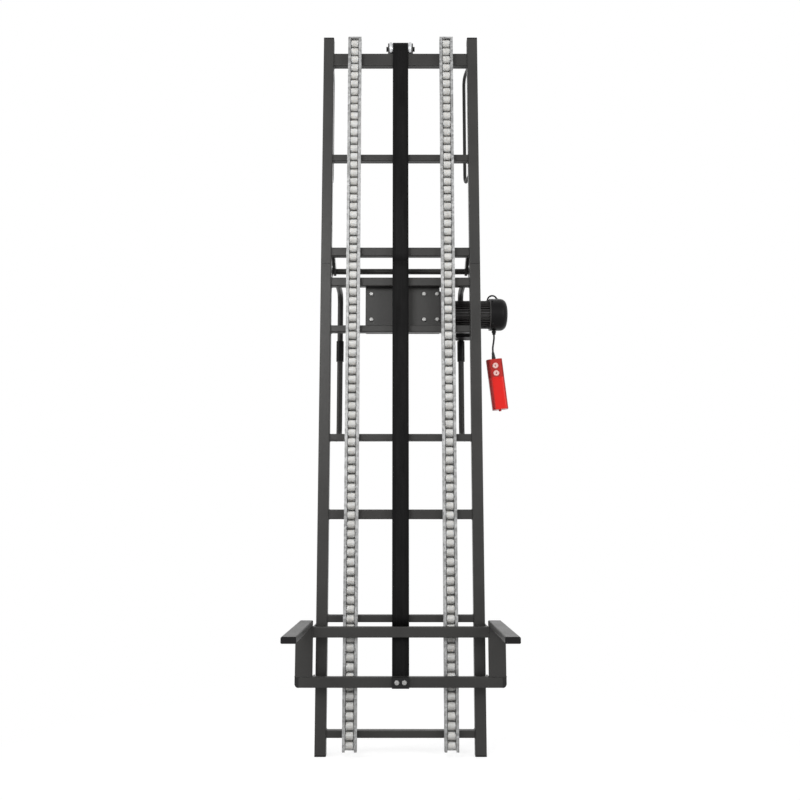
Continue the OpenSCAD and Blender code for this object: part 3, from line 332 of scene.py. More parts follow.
def pendant_shell():
    """Two-tone red housing: a darker dull panel round the buttons, a glossier grip below, and painted shade
    along the left and right edges.
    """
    body, panel = (0.93, 0.016, 0.010), (0.54, 0.026, 0.020)
    look = Look("pendant_red", body, 0.32, Specular_IOR_Level=0.25)
    inside = look.node("ShaderNodeMapping", vector_type="TEXTURE", Vector=look.places, Location=PENDANT_TOP,
                       Rotation=(0, math.radians(-PENDANT_TILT), 0)).outputs["Vector"]
    place = look.split(inside)
    blend = 0.0008
    upper = look.spread(place["Z"], -PANEL_H - blend, -PANEL_H + blend, smooth=True)
    cloud = look.noise(16.0, 3.0)
    tone = look.mix(upper, body, panel)
    tone = look.mix(look.spread(cloud, 0.3, 0.8, 0.0, 0.12), tone, (0.20, 0.012, 0.010))
    # The rounded left and right edges are darkened: painted shade.
    left = look.spread(place["X"], -0.0150, -0.0225, 0.0, 0.75, smooth=True)
    right = look.spread(place["X"], 0.0205, 0.0285, 0.0, 0.6, smooth=True)
    look.put("Base Color", look.mix(look.math("MAXIMUM", left, right), tone, (0.22, 0.008, 0.006)))
    look.put("Roughness", look.spread(upper, 0.0, 1.0, 0.30, 0.6))
    look.bump(look.noise(1100.0, 1.0), 0.0001, 0.5)
    return look.mat


def painted_casting():
    """Black enamel over sand-cast iron: pebbled skin, a little sheen, edges painted paler, partly as rubbed
    wear and partly as a painted highlight.
    """
    colour = (0.035, 0.032, 0.031)
    look = Look("motor_casting", colour, 0.42)
    cloud = look.noise(14.0, 4.0)
    tone = look.mix(look.spread(cloud, 0.35, 0.65), shade(colour, 0.8), shade(colour, 1.3))
    # Paler edges: partly rubbed wear, partly a painted highlight.
    worn_edge_highlight = look.math("MULTIPLY", look.edges(0.0012), look.spread(look.noise(80.0, 4.0), 0.42, 0.62))
    look.put("Base Color", look.mix(look.math("MULTIPLY", worn_edge_highlight, 0.35), tone, (0.072, 0.069, 0.067)))
    look.put("Roughness", look.spread(cloud, 0.3, 0.7, 0.36, 0.5))
    look.bump(look.noise(330.0, 3.0), 0.0005, 0.35)
    return look.mat


def belt_web():
    """Woven black webbing: warp cords along the belt, weft across, painted shade in the hollows of the
    weave, and a smoother rubbed middle painted lighter as a sheen.
    """
    colour = (0.0058, 0.0056, 0.0057)
    warp_pitch, weft_pitch = 0.0025, 0.0021
    look = Look("belt_web", colour, 0.62, Specular_IOR_Level=0.1)
    web = look.node("ShaderNodeAttribute", attribute_name="web").outputs["Vector"]
    place = look.split(web)
    across, along = place["X"], place["Y"]
    warp = look.math("SINE", look.math("MULTIPLY", across, math.tau / warp_pitch))
    twist = look.math("MULTIPLY", across, math.pi / warp_pitch)
    weft = look.math("SINE", look.math("ADD", look.math("MULTIPLY", along, math.tau / weft_pitch), twist))
    height = look.math("ADD", look.math("MULTIPLY", warp, 0.3), look.math("MULTIPLY", weft, 0.2))
    middle = look.spread(look.math("ABSOLUTE", across), 0.012, 0.026, 1.0, 0.0, smooth=True)
    rub = look.math("MULTIPLY", middle, look.spread(look.noise(9.0, 4.0, stretch=(3, 3, 0.6)), 0.35, 0.7))
    lines = look.node("ShaderNodeMapping", Vector=web, Scale=(170, 0.9, 1)).outputs["Vector"]
    streak = look.node("ShaderNodeTexNoise", Vector=lines, Scale=1.0, Detail=2.0).outputs["Fac"]
    # Hollows of the weave darker and its crowns lighter: painted shade.
    tone = look.mix(look.spread(height, -0.4, 0.4), shade(colour, 0.7), shade(colour, 1.3))
    tone = look.mix(look.spread(streak, 0.38, 0.66), shade(colour, 0.45), tone)
    # The rubbed middle is painted lighter: a painted sheen.
    look.put("Base Color", look.mix(look.math("MULTIPLY", rub, 0.5), tone, shade(colour, 1.8)))
    look.put("Roughness", look.spread(rub, 0.0, 1.0, 0.7, 0.5))
    look.bump(height, 0.0004, 0.6)
    return look.mat


# One look for each slot of the record, and looks of their own for a few nodes
LOOKS = {
    "frame_paint": painted_steel("frame_paint", (0.033, 0.032, 0.0305)),
    "galvanised": galvanised_sheet(),
    "zinc_bolts": dull_zinc(),
    "pulley_metal": turned_metal(),
    "black_bolt": moulded("black_bolt", (0.009, 0.009, 0.0092), 0.4, 900.0, 0.00008, gloss=0.22),
    "rollers": roller_plastic(),
    "black_plastic": moulded("black_plastic", (0.0045, 0.0042, 0.0045), 0.42, gloss=0.13),
    "motor_casting": painted_casting(),
    "cable": moulded("cable", (0.010, 0.010, 0.010), 0.55, 700.0, 0.00025, gloss=0.3),
    "belt_web": belt_web(),
    "pendant_red": pendant_shell(),
    "button_white": moulded("button_white", (0.95, 0.60, 0.55), 0.32, 900.0, 0.00006, 0.04),
}
OWN_LOOKS = dict.fromkeys(("end_plugs", "stile_caps", "foot_plugs"), plug_plastic())
# The bows get a darker copy of the frame paint: painted shade.
shaded_bow_paint = painted_steel("shaded_bow_paint", (0.020, 0.019, 0.018), 0.46)
OWN_LOOKS |= dict.fromkeys(("lower_bows", "upper_bows"), shaded_bow_paint)
for part in frame["record"]["subparts"]:
    node = NODES[part["node"]]
    node.data.materials.clear()
    node.data.materials.append(OWN_LOOKS.get(part["node"]) or LOOKS[part["material_slot"]])


# Pieces and their faces
def add_piece(name, bm, body, slot, look=None, smooth=True):
    """Turns a bmesh into a piece that rides on a body, or on none yet."""
    bmesh.ops.recalc_face_normals(bm, faces=bm.faces)
    mesh = bpy.data.meshes.new(name)
    bm.to_mesh(mesh)
    bm.free()
    for face in mesh.polygons:
        face.use_smooth = smooth
    mesh.materials.append(look or LOOKS[slot])
    piece = bpy.data.objects.new(name, mesh)
    bpy.context.scene.collection.objects.link(piece)
    if body:
        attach(piece, body)
    return piece


def add_curve(name, points, diameter, body, slot):
    """Round cord through the points."""
    data = bpy.data.curves.new(name, "CURVE")
    data.dimensions = "3D"
    data.bevel_depth = diameter / 2
    data.bevel_resolution = 6
    data.use_fill_caps = True
    spline = data.splines.new("POLY")
    spline.points.add(len(points) - 1)
    for place, point in zip(spline.points, points):
        place.co = (*point, 1)
    spline.use_smooth = True
    data.materials.append(LOOKS[slot])
    piece = bpy.data.objects.new(name, data)
    bpy.context.scene.collection.objects.link(piece)
    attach(piece, body)
    return piece


def new_verts(bm, points):
    return [bm.verts.new(point) for point in points]


def bridge(bm, a, b):
    """Band of faces between two closed rings of vertices."""
    for k in range(len(a)):
        n = (k + 1) % len(a)
        bm.faces.new((a[k], a[n], b[n], b[k]))


def add_prism(bm, *outlines):
    """Closed solid between two outlines with as many points."""
    near, far = [new_verts(bm, outline) for outline in outlines]
    bridge(bm, near, far)
    bm.faces.new(near)
    bm.faces.new(far)


def turns(count, start=0.0):
    """Even angles round a circle, the first at a share of a step."""
    return [math.tau * (i + start) / count for i in range(count)]


def ring_line(centre, u, v, r, count=20, start=0.0):
    return [centre + r * (math.cos(a) * u + math.sin(a) * v) for a in turns(count, start)]


# The camera comes first, then the two cords
def make_camera():
    """Camera that stands where the photo was taken from."""
    data = bpy.data.cameras.new("photo_camera")
    data.sensor_width = 36.0
    data.lens = 40.5
    camera = bpy.data.objects.new("photo_camera", data)
    camera.location = (-0.002, -3.293, 0.761)
    camera.rotation_euler = (math.radians(98.55), 0, 0)
    bpy.context.scene.collection.objects.link(camera)
    bpy.context.scene.camera = camera


def path_length(points):
    return sum((b - a).length for a, b in zip(points, points[1:]))


def smooth_route(knots, count, fine_steps=20):
    """Points at even steps on one smooth curve through the knots."""
    ends = [knots[0] * 2 - knots[1], *knots, knots[-1] * 2 - knots[-2]]
    fine = []
    for i in range(1, len(ends) - 2):
        a, b, c, d = ends[i - 1:i + 3]
        for t in (k / fine_steps for k in range(fine_steps)):
            fine.append(0.5 * (2 * b + (c - a) * t + (2 * a - 5 * b + 4 * c - d) * t * t
                               + (3 * b - a - 3 * c + d) * t ** 3))
    fine.append(knots[-1])
    step = path_length(fine) / (count - 1)
    route, run, wanted = [fine[0]], 0.0, step
    for a, b in zip(fine, fine[1:]):
        part = (b - a).length
        while len(route) < count - 1 and run + part >= wanted:
            route.append(a + (b - a) * ((wanted - run) / part))
            wanted += step
        run += part
    return route + [fine[-1]]


def make_pendant_cord():
    """Short cord from the gland's mouth to the pendant's strain relief."""
    offsets = [(0, 0, 0), (0, 0, -0.014), (-0.002, 0, -0.031), (-0.005, 0, -0.051), (-0.005, 0, -0.069)]
    route = smooth_route([GLAND_MOUTH + Vector(p) for p in offsets], count=20)
    piece = add_curve("pendant_flex", route, CORD_D, "lower_frame", "cable")
    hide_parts("pendant_cord")
    return piece, route


def make_motor_lead():
    """Loop from the motor's top to the end cap."""
    bend_steps = 24
    route = [LEAD_MIDDLE - Vector((LEAD_R, 0, LEAD_LEG))]
    for i in range(bend_steps + 1):
        a = math.radians(180 + (LEAD_END - 180) * i / bend_steps)
        route.append(LEAD_MIDDLE + LEAD_R * Vector((math.cos(a), 0, math.sin(a))))
    piece = add_curve("motor_flex", route, LEAD_D, "lower_frame", "cable")
    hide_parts("motor_lead")


make_camera()
pendant_flex, pendant_route = make_pendant_cord()
make_motor_lead()

# Belt
SELVEDGE = (60, 30, 0, -30, -60)
SEAM_HALF = 0.0002
BELOW_SEAM, ABOVE_SEAM = SEAM_Z - SEAM_HALF, SEAM_Z + SEAM_HALF


def belt_profile():
    """Closed outline of the webbing across and through: rounded selvedges, shallow lengthwise ribs."""
    half, thick = BELT_W / 2, BELT_T / 2
    ribs, rib_depth, steps, edge_share = 9, 0.00022, 44, 0.93
    face = []
    for i in range(steps + 1):
        x = -half + thick + (BELT_W - BELT_T) * i / steps
        rib = 0.5 - 0.5 * math.cos(math.tau * ribs * i / steps)
        face.append((x, thick - rib_depth * (1 - rib)))
    edge = [(half - thick + thick * math.cos(a), thick * math.sin(a) * edge_share)
            for a in map(math.radians, SELVEDGE)]
    return face + edge + [(-x, -n) for x, n in face] + [(-x, -n) for x, n in edge]


def cap_belt(bm, ring):
    """Closes an end of the webbing with one face per rib step and one for each selvedge."""
    half = len(ring) // 2
    wide = half - len(SELVEDGE)
    for k in range(wide - 1):
        bm.faces.new((ring[k], ring[k + 1], ring[half + wide - 2 - k], ring[half + wide - 1 - k]))
    bm.faces.new(ring[wide - 1:half + 1])
    bm.faces.new(ring[half + wide - 1:] + ring[:1])


def belt_ribbon(name, path, body, *nodes):
    """Webbing along a path of (y, z) points, with its place across and along as an attribute."""
    bm = bmesh.new()
    web = bm.verts.layers.float_vector.new("web")
    profile = belt_profile()
    rings, run = [], 0.0
    for i, point in enumerate(path):
        before, after = path[max(i - 1, 0)], path[min(i + 1, len(path) - 1)]
        along = (after - before).normalized()
        normal = Vector((-along.y, along.x))
        if i:
            run += (point - path[i - 1]).length
        ring = new_verts(bm, [(x, point.x + normal.x * n, point.y + normal.y * n) for x, n in profile])
        for vert in ring:
            vert[web] = (vert.co.x, run, 0)
        rings.append(ring)
    for a, b in zip(rings, rings[1:]):
        bridge(bm, a, b)
    for ring in (rings[0], rings[-1]):
        cap_belt(bm, ring)
    piece = add_piece(name, bm, body, "belt_web")
    if nodes:
        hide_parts(*nodes)
    return piece


def arc(centre, start_r, end_r, start, end, count):
    points = []
    for t in (i / count for i in range(count + 1)):
        r, a = start_r + (end_r - start_r) * t, math.radians(start + (end - start) * t)
        points.append(centre + Vector((r * math.cos(a), r * math.sin(a))))
    return points


def straight(a, b, step=0.04):
    count = max(1, round((b - a).length / step))
    return [a + (b - a) * (i / count) for i in range(count + 1)]


def at_height(a, b, z):
    return a + (b - a) * ((z - a.y) / (b.y - a.y))


def belt_route():
    """Front of the belt at the seam, its wrap over the pulley, where it meets the drum and its last turn."""
    base = Vector((BELT_FRONT_Y, SEAM_Z))
    span = PULLEY - base
    front_lean = math.degrees(math.atan2(span.x, span.y) - math.asin(PULLEY_R / span.length))
    drop = WINCH - PULLEY
    crossing = math.asin((PULLEY_R + STRAND_R) / drop.length)
    back_lean = math.degrees(math.atan2(drop.x, -drop.y) - crossing)
    wrap_steps, turn_steps = 28, 60
    wrap = arc(PULLEY, PULLEY_R, PULLEY_R, 180 - front_lean, back_lean, wrap_steps)
    lean = math.radians(back_lean)
    drum_side = WINCH - STRAND_R * Vector((math.cos(lean), math.sin(lean)))
    turn_end, turn_sink = 338, 0.0003
    turn = arc(WINCH, STRAND_R, STRAND_R - turn_sink, 180 + back_lean, 180 + turn_end, turn_steps)
    return base, wrap, drum_side, turn


def make_front_belt(base, wrap):
    """The two front stretches, each with a mesh of its own."""
    strand = straight(Vector((BELT_FRONT_Y, CARRIAGE_TOP)), Vector((BELT_FRONT_Y, BELOW_SEAM)))
    piece = belt_ribbon("belt_front_low", strand, "lower_frame", "belt_front_lower")
    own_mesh(piece)
    strand = straight(at_height(base, wrap[0], ABOVE_SEAM), wrap[0])
    piece = belt_ribbon("belt_front_high", strand, "upper_frame", "belt_front_upper")
    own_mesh(piece)


def make_back_belt(wrap, drum_side, turn):
    """The wrap with the upper back stretch, and the lower one with its last turn on the drum."""
    strand = wrap + straight(wrap[-1], at_height(wrap[-1], drum_side, ABOVE_SEAM))[1:]
    belt_ribbon("belt_back_high", strand, "upper_frame", "belt_back_upper")
    strand = straight(at_height(wrap[-1], drum_side, BELOW_SEAM), drum_side) + turn[1:]
    belt_ribbon("belt_back_low", strand, "lower_frame", "belt_back_lower")


def make_fold_strips(base, wrap, drum_side):
    """Short strips across the seam, on no body."""
    steps = 32
    for name, line in (("belt_fold_front", (base, wrap[0])), ("belt_fold_back", (wrap[-1], drum_side))):
        ends = [at_height(*line, z) for z in (BELOW_SEAM, ABOVE_SEAM)]
        strip = belt_ribbon(name, straight(*ends, (ends[1] - ends[0]).length / steps), None)
        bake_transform(strip)


def make_hem():
    """End of the belt, down the back of the carriage and round its lower bar."""
    inner_r, bend_steps = 0.0008, 5
    r = BELT_T / 2 + inner_r
    bottom, front, back = CARRIAGE_Z + inner_r, CARRIAGE_FRONT + inner_r, CARRIAGE_BACK - inner_r
    hem = straight(Vector((back + r, CARRIAGE_TOP)), Vector((back + r, bottom)))
    hem += arc(Vector((back, bottom)), r, r, 0, -90, bend_steps)[1:]
    hem += arc(Vector((front, bottom)), r, r, -90, -180, bend_steps)
    hem += [Vector((front - r, CARRIAGE_Z + BAR_H))]
    belt_ribbon("belt_hem", hem, "carriage", "belt_end")


def make_winding():
    """Spiral of belt on the drum."""
    steps_per_turn = 36
    inner = WIND_START_R + BELT_T / 2
    outer = inner + WIND_TURNS * WIND_PITCH
    coil = arc(WINCH, inner, outer, 180 + 360 * WIND_TURNS, 180, round(WIND_TURNS * steps_per_turn))
    belt_ribbon("belt_coil", coil, "drum", "belt_winding")


seam_front, pulley_wrap, drum_meet, drum_turn = belt_route()
make_front_belt(seam_front, pulley_wrap)
make_back_belt(pulley_wrap, drum_meet, drum_turn)
make_fold_strips(seam_front, pulley_wrap, drum_meet)
make_hem()
make_winding()

# Radii of the weld beads
RUNG_BEAD = 0.0023
COMMON_BEAD = 0.0019
BAR_BEAD = 0.0017
ROD_BEAD = 0.0015
CHEEK_BEAD = 0.0014
GUIDE_BEAD = 0.0013


def add_bead(bm, points, radius, closed=False):
    """Rippled bead along a line of points."""
    ripple_step, sides, end_share = 0.0022, 7, 0.55
    fine = []
    ends = points + points[:1] if closed else points
    for a, b in zip(ends, ends[1:]):
        count = max(1, round((b - a).length / ripple_step))
        fine += [a + (b - a) * (i / count) for i in range(count)]
    if not closed:
        fine.append(ends[-1])
    total, rings = len(fine), []
    for i, point in enumerate(fine):
        if closed:
            along = (fine[(i + 1) % total] - fine[i - 1]).normalized()
        else:
            along = (fine[min(i + 1, total - 1)] - fine[max(i - 1, 0)]).normalized()
        side = along.orthogonal().normalized()
        if rings:
            side = (last_side - along * last_side.dot(along)).normalized()
        last_side = side
        ripple, wander = 0.13 * math.sin(i * 2.1), 0.16 * field.noise(point * 260)
        wave = 1 + ripple + wander
        if not closed and i in (0, total - 1):
            wave *= end_share
        rings.append(new_verts(bm, ring_line(point, side, along.cross(side), radius * wave, sides)))
    for a, b in zip(rings, rings[1:]):
        bridge(bm, a, b)
    if closed:
        bridge(bm, rings[-1], rings[0])
    else:
        bm.faces.new(rings[0])
        bm.faces.new(rings[-1])


def box_line(centre, u, v, half_u, half_v, corner=0.004):
    """Closed line round a rectangle with rounded corners."""
    points = []
    for su, sv, start in ((1, 1, 0), (-1, 1, 90), (-1, -1, 180), (1, -1, 270)):
        for d in (0, 30, 60, 90):
            a = math.radians(start + d)
            points.append(centre + u * (su * (half_u - corner) + corner * math.cos(a))
                          + v * (sv * (half_v - corner) + corner * math.sin(a)))
    return points


def add_rung_welds(bm, side, rungs):
    for z, h in rungs:
        ends = box_line(Vector((side * RUNG_END, 0, z)), Y, Z, RUNG_BACK, h / 2)
        add_bead(bm, ends, RUNG_BEAD, True)


def make_lower_welds():
    """Rungs, feet of the lower bows, hinge lugs and top edge of the winch plate."""
    bow_ring_r, plate_weld_half = 0.0112, 0.012
    plate_welds = (-0.11, -0.045, 0.075, 0.13)
    bm = bmesh.new()
    for side in SIDES:
        add_rung_welds(bm, side, LOWER_RUNGS)
        for rung in LOWER_BOW_RUNGS:
            foot = Vector((side * LOWER_BOW_X, RUNG_BACK, LOWER_RUNGS[rung][0]))
            add_bead(bm, ring_line(foot, X, Z, bow_ring_r), COMMON_BEAD, True)
        for x in LUG_FACES:
            add_bead(bm, [Vector((side * x, STILE_BACK, z)) for z in LUG_ROOT_ZS], COMMON_BEAD)
    for x in plate_welds:
        add_bead(bm, [Vector((x + s * plate_weld_half, RUNG_BACK, PLATE_TOP)) for s in SIDES], COMMON_BEAD)
    add_piece("welds_lower", bm, "lower_frame", "frame_paint")


def make_upper_welds():
    """Rungs, feet of the upper bows, hinge arms and pulley cheeks."""
    bow_ring_r, bow_ring_steps, cheek_half = 0.0067, 14, 0.013
    bm = bmesh.new()
    for side in SIDES:
        add_rung_welds(bm, side, UPPER_RUNGS)
        for z in UPPER_BOW_ZS:
            foot = Vector((side * UPPER_BOW_X, STILE_BACK, z))
            add_bead(bm, ring_line(foot, X, Z, bow_ring_r, bow_ring_steps), ROD_BEAD, True)
        add_bead(bm, [Vector((side * ARM_FACE, RUNG_BACK, z)) for z in ARM_ROOT_ZS], BAR_BEAD)
        for x in CHEEK_FACES:
            add_bead(bm, [Vector((side * x, s * cheek_half, CHEEK_FOOT_Z)) for s in SIDES], CHEEK_BEAD)
    add_piece("welds_upper", bm, "upper_frame", "frame_paint")


def make_carriage_welds():
    """Uprights on the lower bar, upper bar between them, fork arms and guide plates."""
    middle_y, half_y = (CARRIAGE_FRONT + CARRIAGE_BACK) / 2, (CARRIAGE_BACK - CARRIAGE_FRONT) / 2
    fork_xs = (SIDE_X + FORK_INSET, SIDE_X + FORK_INSET + FORK_W)
    fork_gap, guide_gap = 0.002, 0.004
    fork_ys = (CARRIAGE_FRONT + fork_gap, CARRIAGE_BACK - fork_gap)
    bar_feet = (CARRIAGE_Z, CARRIAGE_TOP - BAR_H)
    guide_welds = [(z + guide_gap, z + BAR_H - guide_gap) for z in bar_feet]
    bm = bmesh.new()
    for side in SIDES:
        foot = Vector((side * (SIDE_X + SIDE_W / 2), middle_y, CARRIAGE_Z + BAR_H))
        add_bead(bm, box_line(foot, X, Y, SIDE_W / 2, half_y), BAR_BEAD, True)
        bar_end = Vector((side * SIDE_X, middle_y, CARRIAGE_TOP - BAR_H / 2))
        add_bead(bm, box_line(bar_end, Y, Z, half_y, BAR_H / 2), BAR_BEAD, True)
        add_bead(bm, [Vector((side * x, CARRIAGE_FRONT, CARRIAGE_TOP)) for x in fork_xs], COMMON_BEAD)
        add_bead(bm, [Vector((side * fork_xs[1], y, CARRIAGE_TOP)) for y in fork_ys], COMMON_BEAD)
        for x in (SIDE_X - GUIDE_T, SIDE_X):
            for weld in guide_welds:
                add_bead(bm, [Vector((side * x, CARRIAGE_BACK, z)) for z in weld], GUIDE_BEAD)
    add_piece("welds_carriage", bm, "carriage", "frame_paint")


make_lower_welds()
make_upper_welds()
make_carriage_welds()


# Hinge stiffeners
def make_stiffeners():
    """Plates that close the gap between the hinge arms and the upper stiles: a thin one along the arm and a
    thicker one above the lug, drawn in the Y and Z of the frame."""
    root = [(0.0203, 1.8045), (0.0203, 1.8375)]
    along_arm = root + [(0.092, 1.8033), (0.092, 1.7664)]
    over_lug = root + [(0.092, 1.8033), (0.092, 1.7985), (0.056, 1.7868)]
    thin, thick = (0.2595, 0.2622), (0.2623, 0.268)
    bm = bmesh.new()
    for side in SIDES:
        for outline, faces in ((along_arm, thin), (over_lug, thick)):
            add_prism(bm, *[[(side * x, y, z) for y, z in outline] for x in faces])
    add_piece("hinge_stiffeners", bm, "upper_frame", "frame_paint", smooth=False)


make_stiffeners()


# Screws and the motor's air inlet
def add_screw(bm, centre, axis, diameter, height):
    """Round screw head with a sloping edge and a hexagon socket."""
    axis = axis.normalized()
    u = axis.orthogonal().normalized()
    v = axis.cross(u)
    steps, sink = 24, 0.0006
    edge_foot, socket_floor = height * 0.72, height * 0.45
    top_share, mouth_share, floor_share = 0.86, 0.52, 0.48

    def ring(share, level, hexagon=False):
        points = []
        for a in turns(steps):
            r = diameter / 2 * share
            if hexagon:
                r *= math.cos(math.tau / 12) / math.cos(a % (math.tau / 6) - math.tau / 12)
            points.append(centre + axis * level + r * (math.cos(a) * u + math.sin(a) * v))
        return new_verts(bm, points)

    levels = [ring(1, -sink), ring(1, edge_foot), ring(top_share, height), ring(mouth_share, height, True),
              ring(floor_share, socket_floor, True)]
    for a, b in zip(levels, levels[1:]):
        bridge(bm, a, b)
    bm.faces.new(levels[0])
    hub = bm.verts.new(centre + axis * socket_floor)
    for k in range(steps):
        bm.faces.new((levels[-1][k], levels[-1][(k + 1) % steps], hub))


def on_winch_axis(x):
    return Vector((x, WINCH.x, WINCH.y))


def make_winch_screws():
    """Screws of the gearbox in two rings, of the motor cap and of the terminal box."""
    gearbox_rings = ((6, 0.085, 0.040, 0.010, 0.005), (10, 0.095, 0.053, 0.005, 0.003))
    small, small_h = 0.0065, 0.0022
    cap_screw_in = 0.007
    box_xs, box_ys = (0.219, 0.285), (0.078, 0.122)
    bm = bmesh.new()
    for count, x, r, diameter, height in gearbox_rings:
        for place in ring_line(on_winch_axis(x), Y, Z, r, count, 0.5):
            add_screw(bm, place, -X, diameter, height)
    for out in ring_line(Vector(), Y, Z, 1, 4, 0.5):
        add_screw(bm, on_winch_axis(CAP_X + cap_screw_in) + out * (CAP_D / 2), out, small, small_h)
    for x in box_xs:
        for y in box_ys:
            add_screw(bm, Vector((x, y, WINCH.y - BOX_DROP)), -Z, small, small_h)
    add_piece("winch_screws", bm, "lower_frame", "black_bolt")


def add_ring(bm, inner, outer, low, high, count=40):
    """Ring round the winch axis between two places on it, or a disc where inner is 0."""
    corners = [(outer, low), (outer, high)]
    if inner:
        corners += [(inner, high), (inner, low)]
    rings = [new_verts(bm, ring_line(on_winch_axis(x), Y, Z, r, count)) for r, x in corners]
    for a, b in zip(rings, rings[1:]):
        bridge(bm, a, b)
    if inner:
        bridge(bm, rings[-1], rings[0])
    else:
        bm.faces.new(rings[0])
        bm.faces.new(rings[-1])


def make_cowl():
    """Ribbed air inlet on the end of the motor cap: rings, spokes and, behind them, a near-black disc that
    stands for the opening as painted shade.
    """
    rings = ((0.0, 0.0075), (0.0125, 0.0155), (0.0205, 0.0235), (0.0285, 0.0335))
    inlet_r = rings[-1][1]
    rib_base, ring_top, spoke_top = CAP_END - 0.0006, CAP_END + 0.0012, CAP_END + 0.0009
    spokes, spoke_in, spoke_out, spoke_half = 6, 0.006, 0.030, 0.0013
    inlet_base, inlet_top = CAP_END - 0.0004, CAP_END + 0.0002
    bm = bmesh.new()
    for inner, outer in rings:
        add_ring(bm, inner, outer, rib_base, ring_top)
    corners = ((spoke_in, -spoke_half), (spoke_out, -spoke_half), (spoke_out, spoke_half),
               (spoke_in, spoke_half))
    for u in ring_line(Vector(), Y, Z, 1, spokes, 0.5):
        v = X.cross(u)
        ends = [on_winch_axis(x) for x in (rib_base, spoke_top)]
        add_prism(bm, *[[end + u * r + v * w for r, w in corners] for end in ends])
    add_piece("cowl_ribs", bm, "lower_frame", "black_plastic", smooth=False)
    # A flat near-black disc in place of the opening: painted shade.
    bm = bmesh.new()
    add_ring(bm, 0.0, inlet_r, inlet_base, inlet_top)
    dark = moulded("cowl_opening_shade", (0.0025, 0.0025, 0.0025), 0.9)
    add_piece("cowl_inlet_shade", bm, "lower_frame", "black_plastic", dark, smooth=False)


make_winch_screws()
make_cowl()

# Pendant
IN_PENDANT = Matrix.Translation(PENDANT_TOP) @ Matrix.Rotation(math.radians(-PENDANT_TILT), 4, "Y")


def make_pendant_screws():
    """Four screws in the back shell."""
    back, out_x, levels = 0.019, 0.021, (-0.014, -0.180)
    diameter, height = 0.0066, 0.0016
    bm = bmesh.new()
    for side in SIDES:
        for z in levels:
            add_screw(bm, Vector((side * out_x, back, z)), Y, diameter, height)
    bm.transform(IN_PENDANT)
    add_piece("pendant_screws", bm, "lower_frame", "zinc_bolts")


def make_button_marks():
    """An arrow on each button: up on the upper one, down on the lower one."""
    tip, neck, tail, wing, shaft = 0.0044, 0.0002, -0.0042, 0.0040, 0.0015
    arrow = [(0, tip), (wing, neck), (shaft, neck), (shaft, tail), (-shaft, tail), (-shaft, neck),
             (-wing, neck)]
    front, back = -0.0247, -0.0240
    ink = moulded("button_mark", (0.30, 0.020, 0.018), 0.45)
    marks = []
    for name, turn, z in (("button_up", 1, -0.027), ("button_down", -1, -0.056)):
        bm = bmesh.new()
        add_prism(bm, *[[(x, y, z + turn * h) for x, h in arrow] for y in (front, back)])
        bm.transform(IN_PENDANT)
        marks.append(add_piece(name + "_mark", bm, name, "pendant_red", ink, smooth=False))
    return marks


make_pendant_screws()
button_marks = make_button_marks()


# Studio
def camera_light(tree, low, high):
    """low for the rays that light the object, high for those that see the background or mirror it."""
    path = add_node(tree, "ShaderNodeLightPath")
    share = path.outputs["Is Camera Ray"]
    for other in ("Is Glossy Ray", "Is Transmission Ray"):
        both = add_node(tree, "ShaderNodeMath", operation="MAXIMUM")
        feed(tree, both.inputs[0], share)
        feed(tree, both.inputs[1], path.outputs[other])
        share = both.outputs[0]
    return add_node(tree, "ShaderNodeMapRange", Value=share, To_Min=low, To_Max=high).outputs["Result"]


def make_world():
    world = bpy.data.worlds.new("studio")
    world.use_nodes = True
    tree = world.node_tree
    back = tree.nodes["Background"]
    back.inputs["Color"].default_value = (1, 1, 1, 1)
    feed(tree, back.inputs["Strength"], camera_light(tree, 0.5, 1.0))
    bpy.context.scene.world = world


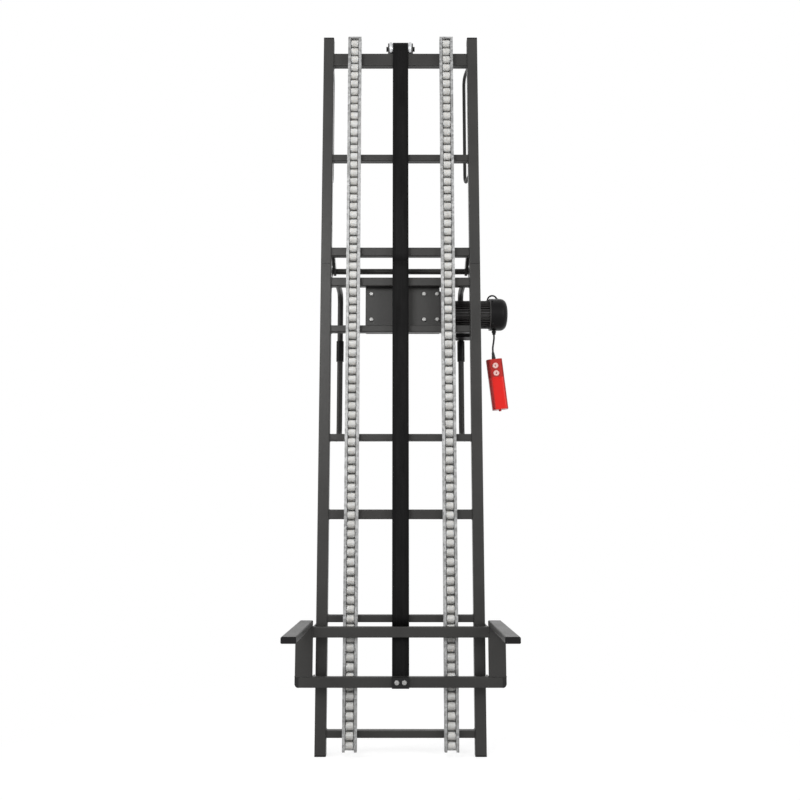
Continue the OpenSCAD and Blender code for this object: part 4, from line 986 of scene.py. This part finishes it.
def floor_look():
    """Keeps the shadow near the feet and runs out into the white."""
    fade_start, fade_end = 0.5, 1.5
    mat = bpy.data.materials.new("floor")
    mat.use_nodes = True
    tree = mat.node_tree
    tree.nodes.remove(tree.nodes["Principled BSDF"])
    dull = add_node(tree, "ShaderNodeBsdfDiffuse", Color=camera_light(tree, 0.2, 0.42))
    glow = add_node(tree, "ShaderNodeEmission", Strength=camera_light(tree, 0.0, 0.73))
    near = add_node(tree, "ShaderNodeAddShader")
    far = add_node(tree, "ShaderNodeEmission", Strength=camera_light(tree, 0.15, 1.0))
    places = add_node(tree, "ShaderNodeTexCoord").outputs["Object"]
    reach = add_node(tree, "ShaderNodeVectorMath", operation="LENGTH", Vector=places).outputs["Value"]
    fade = add_node(tree, "ShaderNodeMapRange", interpolation_type="SMOOTHSTEP", Value=reach,
                    From_Min=fade_start, From_Max=fade_end).outputs["Result"]
    both = add_node(tree, "ShaderNodeMixShader", Fac=fade)
    surface = tree.nodes["Material Output"].inputs["Surface"]
    for shader, socket in ((dull, near.inputs[0]), (glow, near.inputs[1]), (near, both.inputs[1]),
                           (far, both.inputs[2]), (both, surface)):
        tree.links.new(shader.outputs[0], socket)
    return mat


def make_floor():
    """Wide floor just under the feet."""
    bm = bmesh.new()
    bmesh.ops.create_circle(bm, cap_ends=True, radius=6.0, segments=64)
    mesh = bpy.data.meshes.new("floor")
    bm.to_mesh(mesh)
    bm.free()
    mesh.materials.append(floor_look())
    floor = bpy.data.objects.new("floor", mesh)
    floor.location = (0, 0, -0.0005)
    bpy.context.scene.collection.objects.link(floor)


def add_lamp(name, place, size, power):
    """Soft rectangular lamp, aimed near the middle of the hoist."""
    aim = Vector((0, 0, 1.4))
    data = bpy.data.lights.new(name, "AREA")
    data.shape = "RECTANGLE"
    data.size, data.size_y = size
    data.energy = power
    lamp = bpy.data.objects.new(name, data)
    lamp.location = place
    lamp.rotation_euler = (aim - Vector(place)).to_track_quat("-Z", "Y").to_euler()
    bpy.context.scene.collection.objects.link(lamp)


make_world()
make_floor()
add_lamp("key", (-1.0, -2.9, 2.3), (1.0, 1.4), 40)
add_lamp("side", (-3.0, -1.3, 1.9), (0.6, 2.2), 36)
add_lamp("fill", (2.5, -2.8, 1.9), (1.4, 2.0), 42)
add_lamp("back", (0.6, 2.8, 3.0), (2.0, 2.0), 16)
bpy.context.scene.view_settings.view_transform = "Standard"
